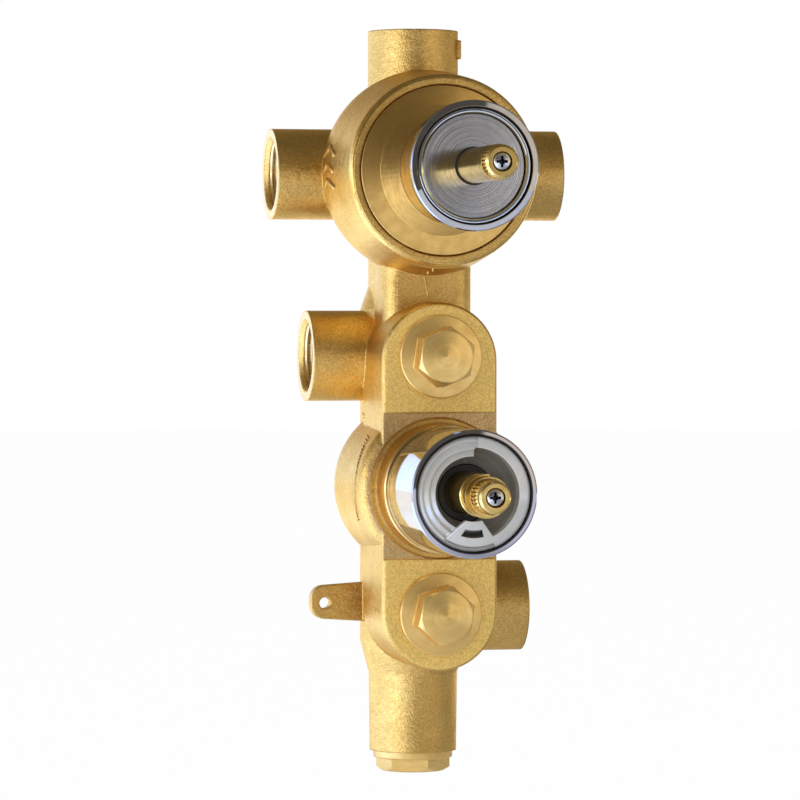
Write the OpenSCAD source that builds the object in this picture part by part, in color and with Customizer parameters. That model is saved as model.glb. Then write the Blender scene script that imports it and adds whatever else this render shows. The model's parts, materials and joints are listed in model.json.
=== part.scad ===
// Concealed shower mixer for building into a wall: one brass casting with a three-way diverter above
// and a mixing cartridge below. Millimetres, +Z up, front along -Y. The origin lies on the pipe line,
// where the thread of the top outlet starts. Inside a cartridge, z runs forward and y runs up.

/* [Ports] */
// Radius of the cast sockets
port_r = 16.6; // [15.8:0.1:18]
// Wall radius of the female pipe threads
thread_r = 12.05; // [11:0.05:12.6]
// Depth of the female threads
thread_len = 16; // [12:0.5:17]
// Depth of the chamfer at each mouth
mouth_depth = 1.5; // [0.8:0.1:2]
// Radius of the waterways behind the threads
waterway_r = 9.5; // [8.5:0.1:10.2]
// Distance from the pipe line to the end of each side outlet
outlet_reach = 53.5; // [50:0.5:62]
// Distance from the pipe line to the end of each inlet
inlet_reach = 40.4; // [38:0.2:48]

/* [Levels] */
// Drop from the origin to the diverter's axis
diverter_drop = 51.4; // [49:0.2:58]
// Drop to the axis of the mixing cartridge
mixer_drop = 165.3; // [162:0.1:175]
// Height of the hot inlet above that axis
hot_rise = 47.3; // [45.5:0.1:48.5]
// Depth of the cold inlet below that axis
cold_fall = 45.4; // [44:0.1:49]
// Length of the lower tube below the cold inlet's axis
tube_len = 52.9; // [49:0.1:64]

/* [Casting] */
// Radius of the column behind the slab
column_r = 19.5; // [19:0.1:21]
// Radius of the lower tube
tube_r = 16.4; // [15.6:0.1:18]
// Half width of the neck below the drum
neck_half = 16.5; // [16:0.1:18]
// Front face of the neck, forward of the pipe line
neck_face = 28; // [26.5:0.5:31]
// Radius of the neck's front corners
neck_corner = 6; // [3:0.5:8]
// Half width of the slab
slab_half = 21.2; // [20.4:0.1:23]
// Front face of the slab, forward of the pipe line
slab_face = 45.5; // [44:0.5:50]
// Back of the slab, forward of the pipe line
slab_back = 12; // [8:0.5:16]
// Radius of the slab's front edge
slab_edge = 1.7; // [0.8:0.1:3]
// Reach of the slab above the hot inlet's axis
slab_top = 19.5; // [17:0.5:21]
// Reach of the slab below the cold inlet's axis
slab_low = 20.6; // [17.5:0.1:22]
// Depth of the milled band across the slab
band_depth = 0.6; // [0.3:0.1:1]
// Half height of the milled band
band_half = 26.4; // [26:0.1:28]

/* [Diverter drum] */
// Front face of the drum, forward of the pipe line
drum_face = 52.5; // [50:0.5:58]
// Outer radius of the drum's face
drum_face_r = 34.5; // [33.5:0.1:35.5]
// Radius of the drum's ball-shaped back
drum_ball_r = 37.6; // [37:0.1:40]
// Centre of that ball, forward of the pipe line
drum_ball_f = 21.3; // [19:0.1:23]
// Depth of the drum behind the pipe line
drum_back = 14; // [12.5:0.5:16]
// Radius of the chamber round the diverter's cage
chamber_r = 24; // [23:0.1:24.5]

/* [Mixer drum] */
// Radius of the machined face
boss_face_r = 25.6; // [25.4:0.1:26.4]
// Radius of its cast edge
boss_edge = 4; // [2:0.1:5]
// Radius of the drum's ball-shaped back
boss_ball_r = 30.9; // [30.4:0.1:33]
// Centre of that ball, forward of the pipe line
boss_ball_f = 9.3; // [8:0.1:11]
// Depth of the drum behind the pipe line
boss_back = 18; // [16:0.5:20]

/* [Fixing ear] */
// Reach of the ear from the pipe line
ear_reach = 38.7; // [36:0.1:46]
// Height of the ear's middle above the cold inlet's axis
ear_rise = 2.1; // [-3:0.1:6]
// Thickness of the ear
ear_t = 5; // [3:0.5:7]
// Height of the ear at its tip
ear_tip_h = 12.3; // [11:0.1:13]
// Height of the ear at its root
ear_root_h = 14.2; // [13:0.1:18]
// Radius of the screw hole
ear_hole_r = 2.1; // [1.6:0.1:2.8]
// Distance from the hole's centre to the tip
ear_hole_edge = 5.1; // [4.5:0.1:6.5]

/* [Diverter] */
// Radius of the bonnet's flange
flange_r = 30.5; // [29.8:0.1:31.5]
// Thickness of the bonnet's flange
flange_t = 3; // [2.6:0.1:4]
// Radius of the hub at the flange
hub_r = 23.25; // [22:0.05:25]
// Length of the bonnet's tapered hub
hub_len = 17.5; // [12:0.5:22]
// Radius of the barrel
barrel_r = 20; // [19.6:0.1:20.4]
// Length of the barrel in front of the hub
barrel_len = 26.5; // [20:0.5:34]
// Outer radius of the collar
collar_r = 22.8; // [22.2:0.1:24]
// Length of the collar
collar_len = 4; // [3:0.1:6]
// Radius of the brushed face plate
plate_r = 18.1; // [17:0.05:18.2]
// Radius of the diverter's stem
stem_r = 6.15; // [5.6:0.05:6.5]
// Reach of the stem in front of the barrel
stem_reach = 44; // [36:0.5:60]
// Wall of the diverter's cage
cage_wall = 1.8; // [1.4:0.1:2.4]
// Rim of the ceramic discs outside the outlet holes
disc_rim = 1; // [0.6:0.1:1.4]
// Thickness of each ceramic disc
disc_t = 4; // [3:0.1:4.5]
// Radius of the outlet holes
outlet_hole_r = 4.5; // [3.5:0.1:4.7]
// Distance of the outlet holes from the diverter's axis
outlet_hole_pitch = 10.5; // [10:0.1:10.8]

/* [Mixing cartridge] */
// Radius of the cartridge nut's skirt
nut_r = 23.3; // [22.8:0.1:23.6]
// Length of the nut's skirt
skirt_len = 14.1; // [10:0.1:18]
// Outer radius of the trim sleeve
sleeve_r = 22.5; // [22:0.1:23.5]
// Wall of the trim sleeve
sleeve_wall = 2.2; // [1.6:0.1:2.4]
// Length of the trim sleeve
sleeve_len = 40.7; // [38:0.1:48]
// Radius of the mouth in the stop ring
mouth_r = 16.2; // [15.8:0.1:16.4]
// Length of the stop ring
stop_len = 6; // [5:0.1:8]
// Radius of the temperature spindle's thick part
spindle_r = 7.5; // [7.2:0.05:8]
// Radius of the spindle in front of its shoulder
spindle_front_r = 6.9; // [6.6:0.05:7.1]
// Reach of the spindle in front of the sleeve
spindle_reach = 31.3; // [28:0.1:40]
// Radius of the cartridge in the body
cartridge_r = 18.9; // [18.5:0.1:19.2]
// Radius of the cartridge's neck
cartridge_neck_r = 13.8; // [13.4:0.1:14]
// Radius of the shuttle's bore
shuttle_bore_r = 14; // [13.6:0.1:14.2]
// Radius of the bore that guides the driver nut
driver_bore_r = 9.6; // [9.2:0.1:10]

/* [Check valves] */
// Flange radius of the hexagon plugs
plug_flange_r = 15; // [14:0.1:16]
// Width across the flats of the plugs
plug_flats = 19; // [17:0.5:22]
// Height of the plugs in front of the slab
plug_h = 12; // [9:0.5:15]
// Flange radius of the tube plug
tube_plug_r = 14.6; // [14:0.1:15.4]
// Width across the flats of the tube plug
tube_plug_flats = 23.6; // [20:0.1:25]
// Height of the tube plug below the tube
tube_plug_h = 7.5; // [6:0.1:12]
// Radius of the bores round the check valves
check_bore_r = 11; // [10.6:0.1:11.4]
// Opening travel of the check poppets
check_travel = 2.5; // [1.5:0.1:3]

/* [Serrations] */
// Number of serrations
teeth = 28; // [20:1:36]
// Length of the diverter's serrations
stem_teeth_len = 4; // [3:0.5:6]
// Length of the temperature spindle's serrations
spindle_teeth_len = 5; // [4:0.5:6]

/* [Hidden] */
$fn = 64;

// Clearances: running fit, seat, loose fit and thread
run = 0.05;
seat = 0.02;
gap = 0.1;
loose = 0.2;
over = 1;

// Levels below the origin
hot_drop = mixer_drop - hot_rise;
cold_drop = mixer_drop + cold_fall;
tube_drop = cold_drop + tube_len;
ear_drop = cold_drop - ear_rise;

// Waterways
mix_x = 8;
mix_back = 6.2;
mix_r = 4.5;
feed_r = 5.5;
feed_f = neck_face - feed_r - 3;
side_hole_r = 4.2;
mouth_slope = 1.35;
mouth_wide_r = thread_r + mouth_slope;
port_stop = waterway_r + 1;
check_thread_r = thread_r - gap / 2;
plug_shank_r = check_thread_r - gap;
shank_len = 11;
check_shoulder = slab_face - shank_len - 0.5;
check_floor = 1;
inlet_past = 2;

// Diverter, distances forward of the pipe line
seat_f = waterway_r + 4.5;
disc_seal_t = 2;
fixed_f = seat_f + disc_seal_t;
moving_f = fixed_f + disc_t + seat;
moving_end_f = moving_f + disc_t;
flange_seat_f = drum_face - flange_t;
drum_thread_r = chamber_r + 4;
bonnet_thread_len = 11.5;
drum_thread_f = flange_seat_f - bonnet_thread_len;
skirt_end_f = flange_seat_f - 7.5;
bonnet_ring_section = (flange_r - drum_thread_r - 0.8) / 2 - seat;
disc_r = outlet_hole_pitch + outlet_hole_r + disc_rim;
cage_bore_r = disc_r + loose;
cage_r = cage_bore_r + cage_wall;
cage_front_f = drum_face + 9.5;
cage_wall_f = cage_front_f - 18;
barrel_end_f = drum_face + hub_len + barrel_len;
plate_seat_f = barrel_end_f - 1;
plate_t = 2.5;
collar_f = barrel_end_f + 0.8;
collar_end_f = barrel_end_f + collar_len;
ring_end_f = collar_end_f - 1;
groove_r = barrel_r + 0.5;
ring_in_r = plate_r + 0.3;
journal_r = stem_r - 0.35;
wiper_r = stem_r + 0.5;
stem_end_f = barrel_end_f + stem_reach;
stem_teeth_f = stem_end_f - 1 - stem_teeth_len;
core_r = 3.9;
core_flat = 3.2;
core_start_f = barrel_end_f - 2.5;
stem_land_f = barrel_end_f + 2;
core_depth = 10.5;
core_end_f = stem_end_f - core_depth;
washer_t = 0.8;
driver_flange_t = 3.5;
driver_flange_r = 12;
dog_f = moving_end_f + 1;
dog_t = 3;
dog_half = 9;
dog_pin_r = 1.8;
screw_r = 2;
screw_len = 19.5;
screw_head_r = 3.3;
screw_head_h = 2.45;
screw_sink = 2.9;

// Mixer, distances forward of the pipe line
boss_face = slab_face - band_depth;
nut_thread_r = cartridge_r + 3.4;
chamber_front_f = boss_face - 6.9;
mixer_bore_r = cartridge_r + gap;
tail_bore_r = 16;
tail_seat_f = 8;
tail_floor = 12;
nut_inner_f = chamber_front_f + 1;
skirt_end = boss_face + skirt_len;
sleeve_in_r = sleeve_r - sleeve_wall;
sleeve_end_f = skirt_end + sleeve_len;
spigot_r = sleeve_in_r - 0.15;
ring_front_f = sleeve_end_f - 0.7;
ring_back_f = ring_front_f - stop_len;
dish_r = mouth_r + gap;
dish_floor_f = ring_back_f - 6.6;
bush_r = 10.1;
bush_hole_r = bush_r + gap;
cartridge_front_f = dish_floor_f - 6.4;
bush_back_f = cartridge_front_f + loose;
spindle_start_f = bush_back_f + 0.4;
spindle_end_f = sleeve_end_f + spindle_reach;
spindle_core_end_f = spindle_end_f - core_depth;
shoulder_f = spindle_end_f - 22;
spindle_teeth_f = spindle_end_f - 3 - spindle_teeth_len;
clip_f = spindle_end_f - 13.6;
clip_t = 1;
bearing_r = 7;
bearing_f = cartridge_front_f - 10.6;
spindle_flange_f = bearing_f - 3.4;
spindle_stud_r = 3;
stud_start_f = spindle_flange_f - 15;
driver_back_f = tail_seat_f + 28.5;
driver_floor_f = driver_back_f + 13.5;
driver_boss_f = spindle_flange_f - 4;
key_half = 1;
key_r = driver_bore_r + 1.2;
step_f = tail_seat_f + 28;
hot_window_f = step_f - 7;
cold_window_f = step_f - 18.5;
window_half = 3;
shuttle_back_f = tail_seat_f + 10.5;
shuttle_len = 8.5;
web_f = tail_seat_f + 14;
web_t = 2;
web_hole_pitch = 10.4;
wax_collar_r = 8.5;
wax_head_r = 6.5;
wax_back_f = -2;
tail_end_f = -6;
tail_wall = 2;
o_ring_r = 0.95;
mixer_ring_f = [tail_seat_f + 2.6, tail_seat_f + 15.2, chamber_front_f - 1.8];

// Check valve, distances forward of the pipe line
check_wire_r = 0.4;
check_turns = 4;
check_solid = 2 * check_wire_r * (check_turns + 1);
check_cage_r = check_bore_r - gap;
poppet_r = 6.2;
poppet_seat_f = check_floor + 2;
poppet_t = 2;
poppet_stem_r = 1.5;
spider_f = poppet_seat_f + poppet_t + check_travel + check_solid;
spider_t = 1.5;
cage_end_f = spider_f + spider_t;
strainer_r = 9;

// Points on an arc round c, as [r, f] or [x, y]
function arc(c, r, from, to, n) =
    [for (i = [0:n]) let (a = from + (to - from) * i / n) [c[0] + r * cos(a), c[1] + r * sin(a)]];

// A solid of revolution from its [r, f] outline
module turned(outline) rotate_extrude(convexity = 6) polygon(outline);

// A tube between two distances
module tube(outer, inner, from, to) turned([[inner, from], [outer, from], [outer, to], [inner, to]]);

// A round rod or hole between two distances
module rod(r, from, to) translate([0, 0, from]) cylinder(r = r, h = to - from);

// Puts a cartridge's own frame at its place on the body
module cartridge_at(drop) translate([0, 0, -drop]) rotate([90, 0, 0]) children();

module o_ring(r, f, section = o_ring_r)
    rotate_extrude() translate([r, f]) circle(r = section, $fn = 24);

// Cuts the groove that holds an O-ring in a rod or a bore
module o_groove(inner, outer, f, width) tube(outer, inner, f - width / 2, f + width / 2);

// A coil spring along z
module coil(mean_r, wire_r, from, to, turns) {
    steps = 18;
    sides = 6;
    count = steps * turns;
    function place(i, k) =
        let (a = 360 * i / steps, b = 360 * k / sides,
             r = mean_r + wire_r * cos(b),
             z = from + wire_r + (to - from - 2 * wire_r) * i / count + wire_r * sin(b))
        [r * cos(a), r * sin(a), z];
    points = [for (i = [0:count]) for (k = [0:sides - 1]) place(i, k)];
    walls = [for (i = [0:count - 1]) for (k = [0:sides - 1])
        let (n = (k + 1) % sides)
        [i * sides + k, (i + 1) * sides + k, (i + 1) * sides + n, i * sides + n]];
    ends = [[for (k = [0:sides - 1]) k], [for (k = [sides - 1:-1:0]) count * sides + k]];
    polyhedron(points = points, faces = concat(walls, ends), convexity = 10);
}

// Fine teeth round a spindle, straight along it
module serrations(tip_r, root_r, from, to)
    translate([0, 0, from]) linear_extrude(to - from)
        polygon([for (i = [0:2 * teeth - 1]) let (r = i % 2 == 0 ? tip_r : root_r, a = 180 * i / teeth)
            [r * cos(a), r * sin(a)]]);

// A rod with two flats, which drives the extension that slides on it
module flatted_rod(r, flat, from, to)
    intersection() {
        rod(r, from, to);
        translate([-flat, -r, from]) cube([2 * flat, 2 * r, to - from]);
    }

// A pan head screw with a cross recess, its head on the seat at z = 0
module cross_screw(length) {
    difference() {
        union() {
            turned(concat([[0, 0], [screw_head_r, 0]],
                arc([screw_head_r - 1, screw_head_h - 1], 1, 0, 90, 4), [[0, screw_head_h]]));
            rod(screw_r, -length, 0.1);
        }
        for (a = [0, 90]) rotate([0, 0, a])
            translate([-2.1, -0.45, screw_head_h - 1.3]) cube([4.2, 0.9, 1.3 + over]);
    }
}

// The socket's thread and chamfer, with its mouth at z = 0 and the hole along -z
module thread_mouth(depth) {
    rod(thread_r, -mouth_depth - depth, over);
    turned([[0, -mouth_depth], [thread_r, -mouth_depth], [mouth_wide_r, 0], [mouth_wide_r, over],
        [0, over]]);
}

// Casting

module drum_blank()
    turned(concat([[0, -drum_back]],
        arc([0, drum_ball_f], drum_ball_r, -asin((drum_back + drum_ball_f) / drum_ball_r), 6, 14),
        arc([drum_face_r - 1.6, drum_face - 1.6], 1.6, 10, 90, 4), [[0, drum_face]]));

module boss_blank()
    turned(concat([[0, -boss_back]],
        arc([0, boss_ball_f], boss_ball_r, -asin((boss_back + boss_ball_f) / boss_ball_r), 5, 12),
        arc([boss_face_r, boss_face - boss_edge], boss_edge, 10, 90, 6), [[0, boss_face]]));

function neck_outline() = concat(
    arc([0, 0], neck_half, 0, 180, 24),
    arc([neck_corner - neck_half, neck_corner - neck_face], neck_corner, 180, 270, 8),
    arc([neck_half - neck_corner, neck_corner - neck_face], neck_corner, 270, 360, 8));

// Half of the slab's section, from its middle to its side, as [x, f]
function slab_half_outline() = concat([[0, slab_back], [slab_half, slab_back]],
    arc([slab_half - slab_edge, slab_face - slab_edge], slab_edge, 0, 90, 5), [[0, slab_face]]);

module slab_blank() {
    half = slab_half_outline();
    top_drop = hot_drop - slab_top + slab_half;
    low_drop = cold_drop + slab_low - slab_half;
    for (end = [[top_drop, 0], [low_drop, 180]]) cartridge_at(end[0])
        rotate([0, 0, end[1]]) rotate_extrude(angle = 180) polygon(half);
    translate([0, 0, -low_drop]) linear_extrude(low_drop - top_drop)
        polygon(concat([for (p = half) [p[0], -p[1]]],
            [for (i = [len(half) - 2:-1:1]) [-half[i][0], -half[i][1]]]));
}

module ear_blank() {
    r = 5;
    translate([0, ear_t / 2, -ear_drop]) rotate([90, 0, 0]) linear_extrude(ear_t)
        polygon(concat([[-column_r / 2, -ear_root_h / 2], [-column_r / 2, ear_root_h / 2],
            [-column_r, ear_root_h / 2]],
            arc([r - ear_reach, ear_tip_h / 2 - r], r, 90, 180, 6),
            arc([r - ear_reach, r - ear_tip_h / 2], r, 180, 270, 6), [[-column_r, -ear_root_h / 2]]));
}

module casting() {
    flare_top = -hot_drop + slab_top + 6.5;
    cone_top = -cold_drop - 12.5;
    cartridge_at(diverter_drop) drum_blank();
    cartridge_at(mixer_drop) boss_blank();
    slab_blank();
    ear_blank();
    rod(port_r, -diverter_drop, mouth_depth);
    for (side = [-90, 90]) {
        translate([0, 0, -diverter_drop]) rotate([0, side, 0]) rod(port_r, 0, outlet_reach);
    }
    translate([0, 0, -hot_drop]) rotate([0, -90, 0]) rod(port_r, 0, inlet_reach);
    translate([0, 0, -cold_drop]) rotate([0, 90, 0]) rod(port_r, 0, inlet_reach);
    translate([0, 0, -hot_drop]) linear_extrude(hot_drop - diverter_drop) polygon(neck_outline());
    turned([[0, flare_top - 9], [0, -mixer_drop], [column_r, -mixer_drop], [column_r, flare_top - 9]]);
    turned([[0, flare_top - 9], [column_r, flare_top - 9], [neck_half - 0.2, flare_top], [0, flare_top]]);
    turned([[0, -tube_drop], [tube_r - 0.4, -tube_drop], [tube_r, cone_top - 11.5],
        [column_r, cone_top], [column_r, -mixer_drop], [0, -mixer_drop]]);
}

module valve_body() color("goldenrod") difference() {
    casting();
    band_middle = -mixer_drop + 0.85;
    translate([-slab_half - over, -slab_face - over, band_middle - band_half])
        cube([2 * (slab_half + over), band_depth + over, 2 * band_half]);
    // Top and side outlets
    translate([0, 0, mouth_depth]) thread_mouth(thread_len);
    rod(waterway_r, port_stop - diverter_drop, 0);
    for (side = [-90, 90]) translate([0, 0, -diverter_drop]) rotate([0, side, 0]) {
        translate([0, 0, outlet_reach]) thread_mouth(thread_len);
        rod(waterway_r, port_stop, outlet_reach);
    }
    // Inlets
    for (inlet = [[hot_drop, -90], [cold_drop, 90]])
        translate([0, 0, -inlet[0]]) rotate([0, inlet[1], 0]) {
            translate([0, 0, inlet_reach]) thread_mouth(thread_len);
            rod(waterway_r, -inlet_past, inlet_reach);
        }
    // Lower tube
    translate([0, 0, -tube_drop]) rotate([180, 0, 0]) {
        rod(thread_r, -thread_len, over);
        rod(waterway_r, -tube_drop + cold_drop + check_thread_r + 3, 0);
    }
    // Fixing hole
    translate([ear_hole_edge - ear_reach, -ear_t / 2 - over, -ear_drop - 0.3]) rotate([-90, 0, 0])
        rod(ear_hole_r, 0, ear_t + 2 * over);
    // Diverter chamber and its three outlet holes
    cartridge_at(diverter_drop) {
        rod(flange_r + 0.3, flange_seat_f, drum_face + over);
        rod(drum_thread_r, drum_thread_f, drum_face);
        rod(chamber_r, seat_f, drum_face);
        outlet_holes(0, drum_face);
    }
    // Chambers behind the two hexagon plugs
    for (drop = [hot_drop, cold_drop]) cartridge_at(drop) {
        rod(check_thread_r, check_shoulder, slab_face + over);
        rod(check_bore_r, check_floor, slab_face);
    }
    // Mixing chamber, with the groove round its nut
    cartridge_at(mixer_drop) {
        tube(nut_r + 2, nut_r + gap, boss_face - 0.8, boss_face + 2 * over);
        rod(nut_thread_r + gap, chamber_front_f, boss_face + over);
        rod(mixer_bore_r, tail_seat_f, boss_face);
        rod(tail_bore_r, -tail_floor, boss_face);
    }
    // Hot way down to the cartridge, and cold way up to it
    translate([0, -hot_window_f, -mixer_drop]) rod(side_hole_r, 0, mixer_drop - hot_drop);
    translate([0, -cold_window_f, -cold_drop]) rod(side_hole_r, 0, cold_drop - mixer_drop);
    // Mixed water down to the tube
    translate([-mix_x, mix_back, -cold_drop - check_thread_r - 6])
        rod(mix_r, 0, cold_drop - mixer_drop + check_thread_r + 6);
    // Mixed water up past the hot inlet, across the neck and into the diverter
    cross_z = -(diverter_drop + chamber_r + hot_drop - check_thread_r) / 2;
    translate([mix_x, mix_back, -mixer_drop]) rod(mix_r, 0, mixer_drop + cross_z);
    translate([mix_x, mix_back, cross_z]) rotate([90, 0, 0]) rod(mix_r, over - mix_r, mix_back + feed_f);
    translate([mix_x, -feed_f, 0]) rod(feed_r, cross_z - mix_r - over, -diverter_drop - chamber_r / 2);
}

// Plugs

// A hexagon plug on its seat at z = 0, with a hollow shank and an O-ring groove
module hex_plug(rim_r, rim_t, flats, height, shank_r, shank, turn) {
    corner_r = flats / 2 / cos(30);
    face_r = flats / 2 - 0.3;
    difference() {
        union() {
            turned([[0, -shank], [shank_r, -shank], [shank_r, -2], [shank_r - 1.6, -2],
                [shank_r - 1.6, 0], [rim_r, 0], [rim_r, rim_t - 0.3], [rim_r - 0.3, rim_t], [0, rim_t]]);
            intersection() {
                rotate([0, 0, turn]) cylinder(r = corner_r, h = height, $fn = 6);
                turned([[0, 0], [corner_r + 1, 0], [corner_r + 1, height - (corner_r + 1 - face_r) * 0.6],
                    [face_r, height], [0, height]]);
            }
        }
        rod(shank_r - 3.6, -shank - over, rim_t - 0.5);
    }
}

module plug_o_ring(shank_r) o_ring(shank_r - 0.8, -1, 0.75);

module tube_frame() translate([0, 0, -tube_drop]) rotate([180, 0, 0]) children();
module tube_plug() color("goldenrod") tube_frame()
    hex_plug(tube_plug_r, 2.7, tube_plug_flats, tube_plug_h, thread_r - gap, thread_len - 3, 18);
module tube_plug_o_ring() color("black") tube_frame() plug_o_ring(thread_r - gap);

// Diverter

module diverter_bonnet() color("gold") cartridge_at(diverter_drop) difference() {
    turned([[cage_r + loose, skirt_end_f], [drum_thread_r - gap, skirt_end_f],
        [drum_thread_r - gap, flange_seat_f], [flange_r, flange_seat_f], [flange_r, drum_face - 0.3],
        [flange_r - 0.3, drum_face], [hub_r, drum_face], [barrel_r, drum_face + hub_len],
        [barrel_r, barrel_end_f], [plate_r + gap, barrel_end_f], [plate_r + gap, plate_seat_f],
        [journal_r + run, plate_seat_f], [journal_r + run, plate_seat_f - 7.5],
        [stem_r + 4, plate_seat_f - 7.5], [stem_r + 4, cage_front_f + loose],
        [cage_r + loose, cage_front_f + loose]]);
    o_groove(drum_thread_r + 0.4, flange_r - 0.4, flange_seat_f, 4 * bonnet_ring_section + 0.2);
}

module bonnet_o_ring() color("black") cartridge_at(diverter_drop)
    o_ring((flange_r + drum_thread_r) / 2, flange_seat_f + bonnet_ring_section + seat, bonnet_ring_section);

module diverter_collar() color("silver") cartridge_at(diverter_drop)
    turned([[ring_in_r, barrel_end_f], [collar_r, barrel_end_f], [collar_r, collar_end_f - 0.4],
        [collar_r - 0.4, collar_end_f], [groove_r + 0.2, collar_end_f], [groove_r, collar_end_f - 0.2],
        [groove_r, collar_f], [ring_in_r, collar_f]]);

module retaining_ring() color("lightgray") cartridge_at(diverter_drop)
    turned(concat([[ring_in_r, collar_f], [groove_r - 0.3, collar_f]],
        arc([groove_r - 0.9, ring_end_f - 0.6], 0.6, 0, 90, 4),
        arc([ring_in_r + 0.6, ring_end_f - 0.6], 0.6, 90, 180, 4)));

module face_plate() color("darkgray") cartridge_at(diverter_drop)
    turned([[wiper_r + run, plate_seat_f], [plate_r, plate_seat_f], [plate_r, plate_seat_f + plate_t - 0.2],
        [plate_r - 0.2, plate_seat_f + plate_t], [wiper_r + run, plate_seat_f + plate_t]]);

module stem_wiper() color("black") cartridge_at(diverter_drop)
    tube(wiper_r, journal_r + run, plate_seat_f, plate_seat_f + plate_t + 0.2);

module diverter_cage() color("whitesmoke") cartridge_at(diverter_drop) difference() {
    turned([[cage_bore_r, seat_f], [cage_r, seat_f], [cage_r, cage_front_f], [journal_r + run, cage_front_f],
        [journal_r + run, cage_wall_f], [cage_bore_r, cage_wall_f]]);
    window_from = moving_end_f + 2;
    window_to = skirt_end_f - 4;
    for (a = [45, 135, 225, 315]) rotate([0, 0, a])
        translate([0, -7, window_from]) cube([cage_r + over, 14, window_to - window_from]);
    o_groove(cage_r - 2, cage_r + over, cage_front_f - 6, 2.2);
}

module cage_o_ring() color("black") cartridge_at(diverter_drop)
    o_ring(cage_r - 0.95, cage_front_f - 6);

module outlet_holes(from, to)
    for (a = [0, 90, 180]) rotate([0, 0, a])
        translate([outlet_hole_pitch, 0, 0]) rod(outlet_hole_r, from, to);

module disc_seal() color("dimgray") cartridge_at(diverter_drop) difference() {
    rod(disc_r, seat_f, fixed_f);
    outlet_holes(seat_f - over, fixed_f + over);
}

module fixed_disc() color("white") cartridge_at(diverter_drop) difference() {
    rod(disc_r, fixed_f, fixed_f + disc_t);
    outlet_holes(fixed_f - over, fixed_f + disc_t + over);
}

// The one opening of the moving disc stands over the top outlet at rest
module moving_disc() color("white") cartridge_at(diverter_drop) difference() {
    rod(disc_r, moving_f, moving_end_f);
    translate([0, outlet_hole_pitch, 0]) rod(outlet_hole_r, moving_f - over, moving_end_f + over);
    for (x = [-dog_half + 2.5, dog_half - 2.5])
        translate([x, 0, 0]) rod(dog_pin_r + run, moving_end_f - 1.6, moving_end_f + over);
}

module diverter_thrust_washer() color("ivory") cartridge_at(diverter_drop)
    tube(driver_flange_r - 0.5, journal_r + run, cage_wall_f - washer_t - run, cage_wall_f - run);

module diverter_spindle() color("darkkhaki") cartridge_at(diverter_drop) difference() {
    flange_end = cage_wall_f - washer_t - 2 * run;
    union() {
        turned([[0, dog_f], [5, dog_f], [5, flange_end - driver_flange_t],
            [driver_flange_r, flange_end - driver_flange_t], [driver_flange_r, flange_end],
            [journal_r, flange_end], [journal_r, core_start_f], [0, core_start_f]]);
        translate([-dog_half, -3, dog_f]) cube([2 * dog_half, 6, dog_t]);
        for (x = [-dog_half + 2.5, dog_half - 2.5])
            translate([x, 0, 0]) rod(dog_pin_r, moving_end_f - 1.5, dog_f + 1);
        flatted_rod(core_r, core_flat, core_start_f - 1, core_end_f);
    }
    o_groove(journal_r - 1.85, journal_r + over, cage_front_f - 9, 2.2);
    rod(screw_r + run, core_end_f - screw_len + 4, core_end_f + over);
}

module diverter_spindle_o_ring() color("black") cartridge_at(diverter_drop)
    o_ring(journal_r - 0.92, cage_front_f - 9, 0.9);

module diverter_extension() color("gold") cartridge_at(diverter_drop) difference() {
    neck_f = stem_teeth_f - 0.5;
    union() {
        rod(journal_r, core_start_f + 0.3, stem_land_f + 0.1);
        rod(stem_r, stem_land_f, neck_f);
        rod(stem_r - 0.75, neck_f - 0.1, stem_teeth_f + 0.1);
        intersection() {
            serrations(stem_r - 0.15, stem_r - 0.55, stem_teeth_f, stem_end_f);
            turned([[0, stem_teeth_f], [stem_r, stem_teeth_f], [stem_r - 0.2, stem_end_f - 1],
                [stem_r - 1.25, stem_end_f], [0, stem_end_f]]);
        }
    }
    flatted_rod(core_r + run, core_flat + run, core_start_f - over, core_end_f + loose);
    rod(screw_r + 0.15, core_end_f, stem_end_f + over);
    rod(screw_head_r + 0.15, stem_end_f - screw_sink, stem_end_f + over);
}

module diverter_screw() color("silver") cartridge_at(diverter_drop)
    translate([0, 0, stem_end_f - screw_sink + seat]) cross_screw(screw_len);

// Mixing cartridge, static pieces

module cartridge_nut() color("gold") cartridge_at(mixer_drop)
    turned([[cartridge_neck_r + loose, nut_inner_f], [nut_thread_r, nut_inner_f], [nut_thread_r, boss_face],
        [nut_r, boss_face], [nut_r, skirt_end - 0.4], [nut_r - 0.4, skirt_end], [spigot_r, skirt_end],
        [spigot_r, ring_back_f], [dish_r, ring_back_f], [bush_hole_r, dish_floor_f],
        [bush_hole_r, cartridge_front_f + loose], [cartridge_neck_r + loose, cartridge_front_f + loose]]);

module trim_sleeve() color("silver") cartridge_at(mixer_drop)
    turned([[sleeve_in_r, skirt_end], [sleeve_r, skirt_end], [sleeve_r, sleeve_end_f - 0.5],
        [sleeve_r - 0.5, sleeve_end_f], [sleeve_in_r + 0.2, sleeve_end_f], [sleeve_in_r, sleeve_end_f - 0.2]]);

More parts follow.
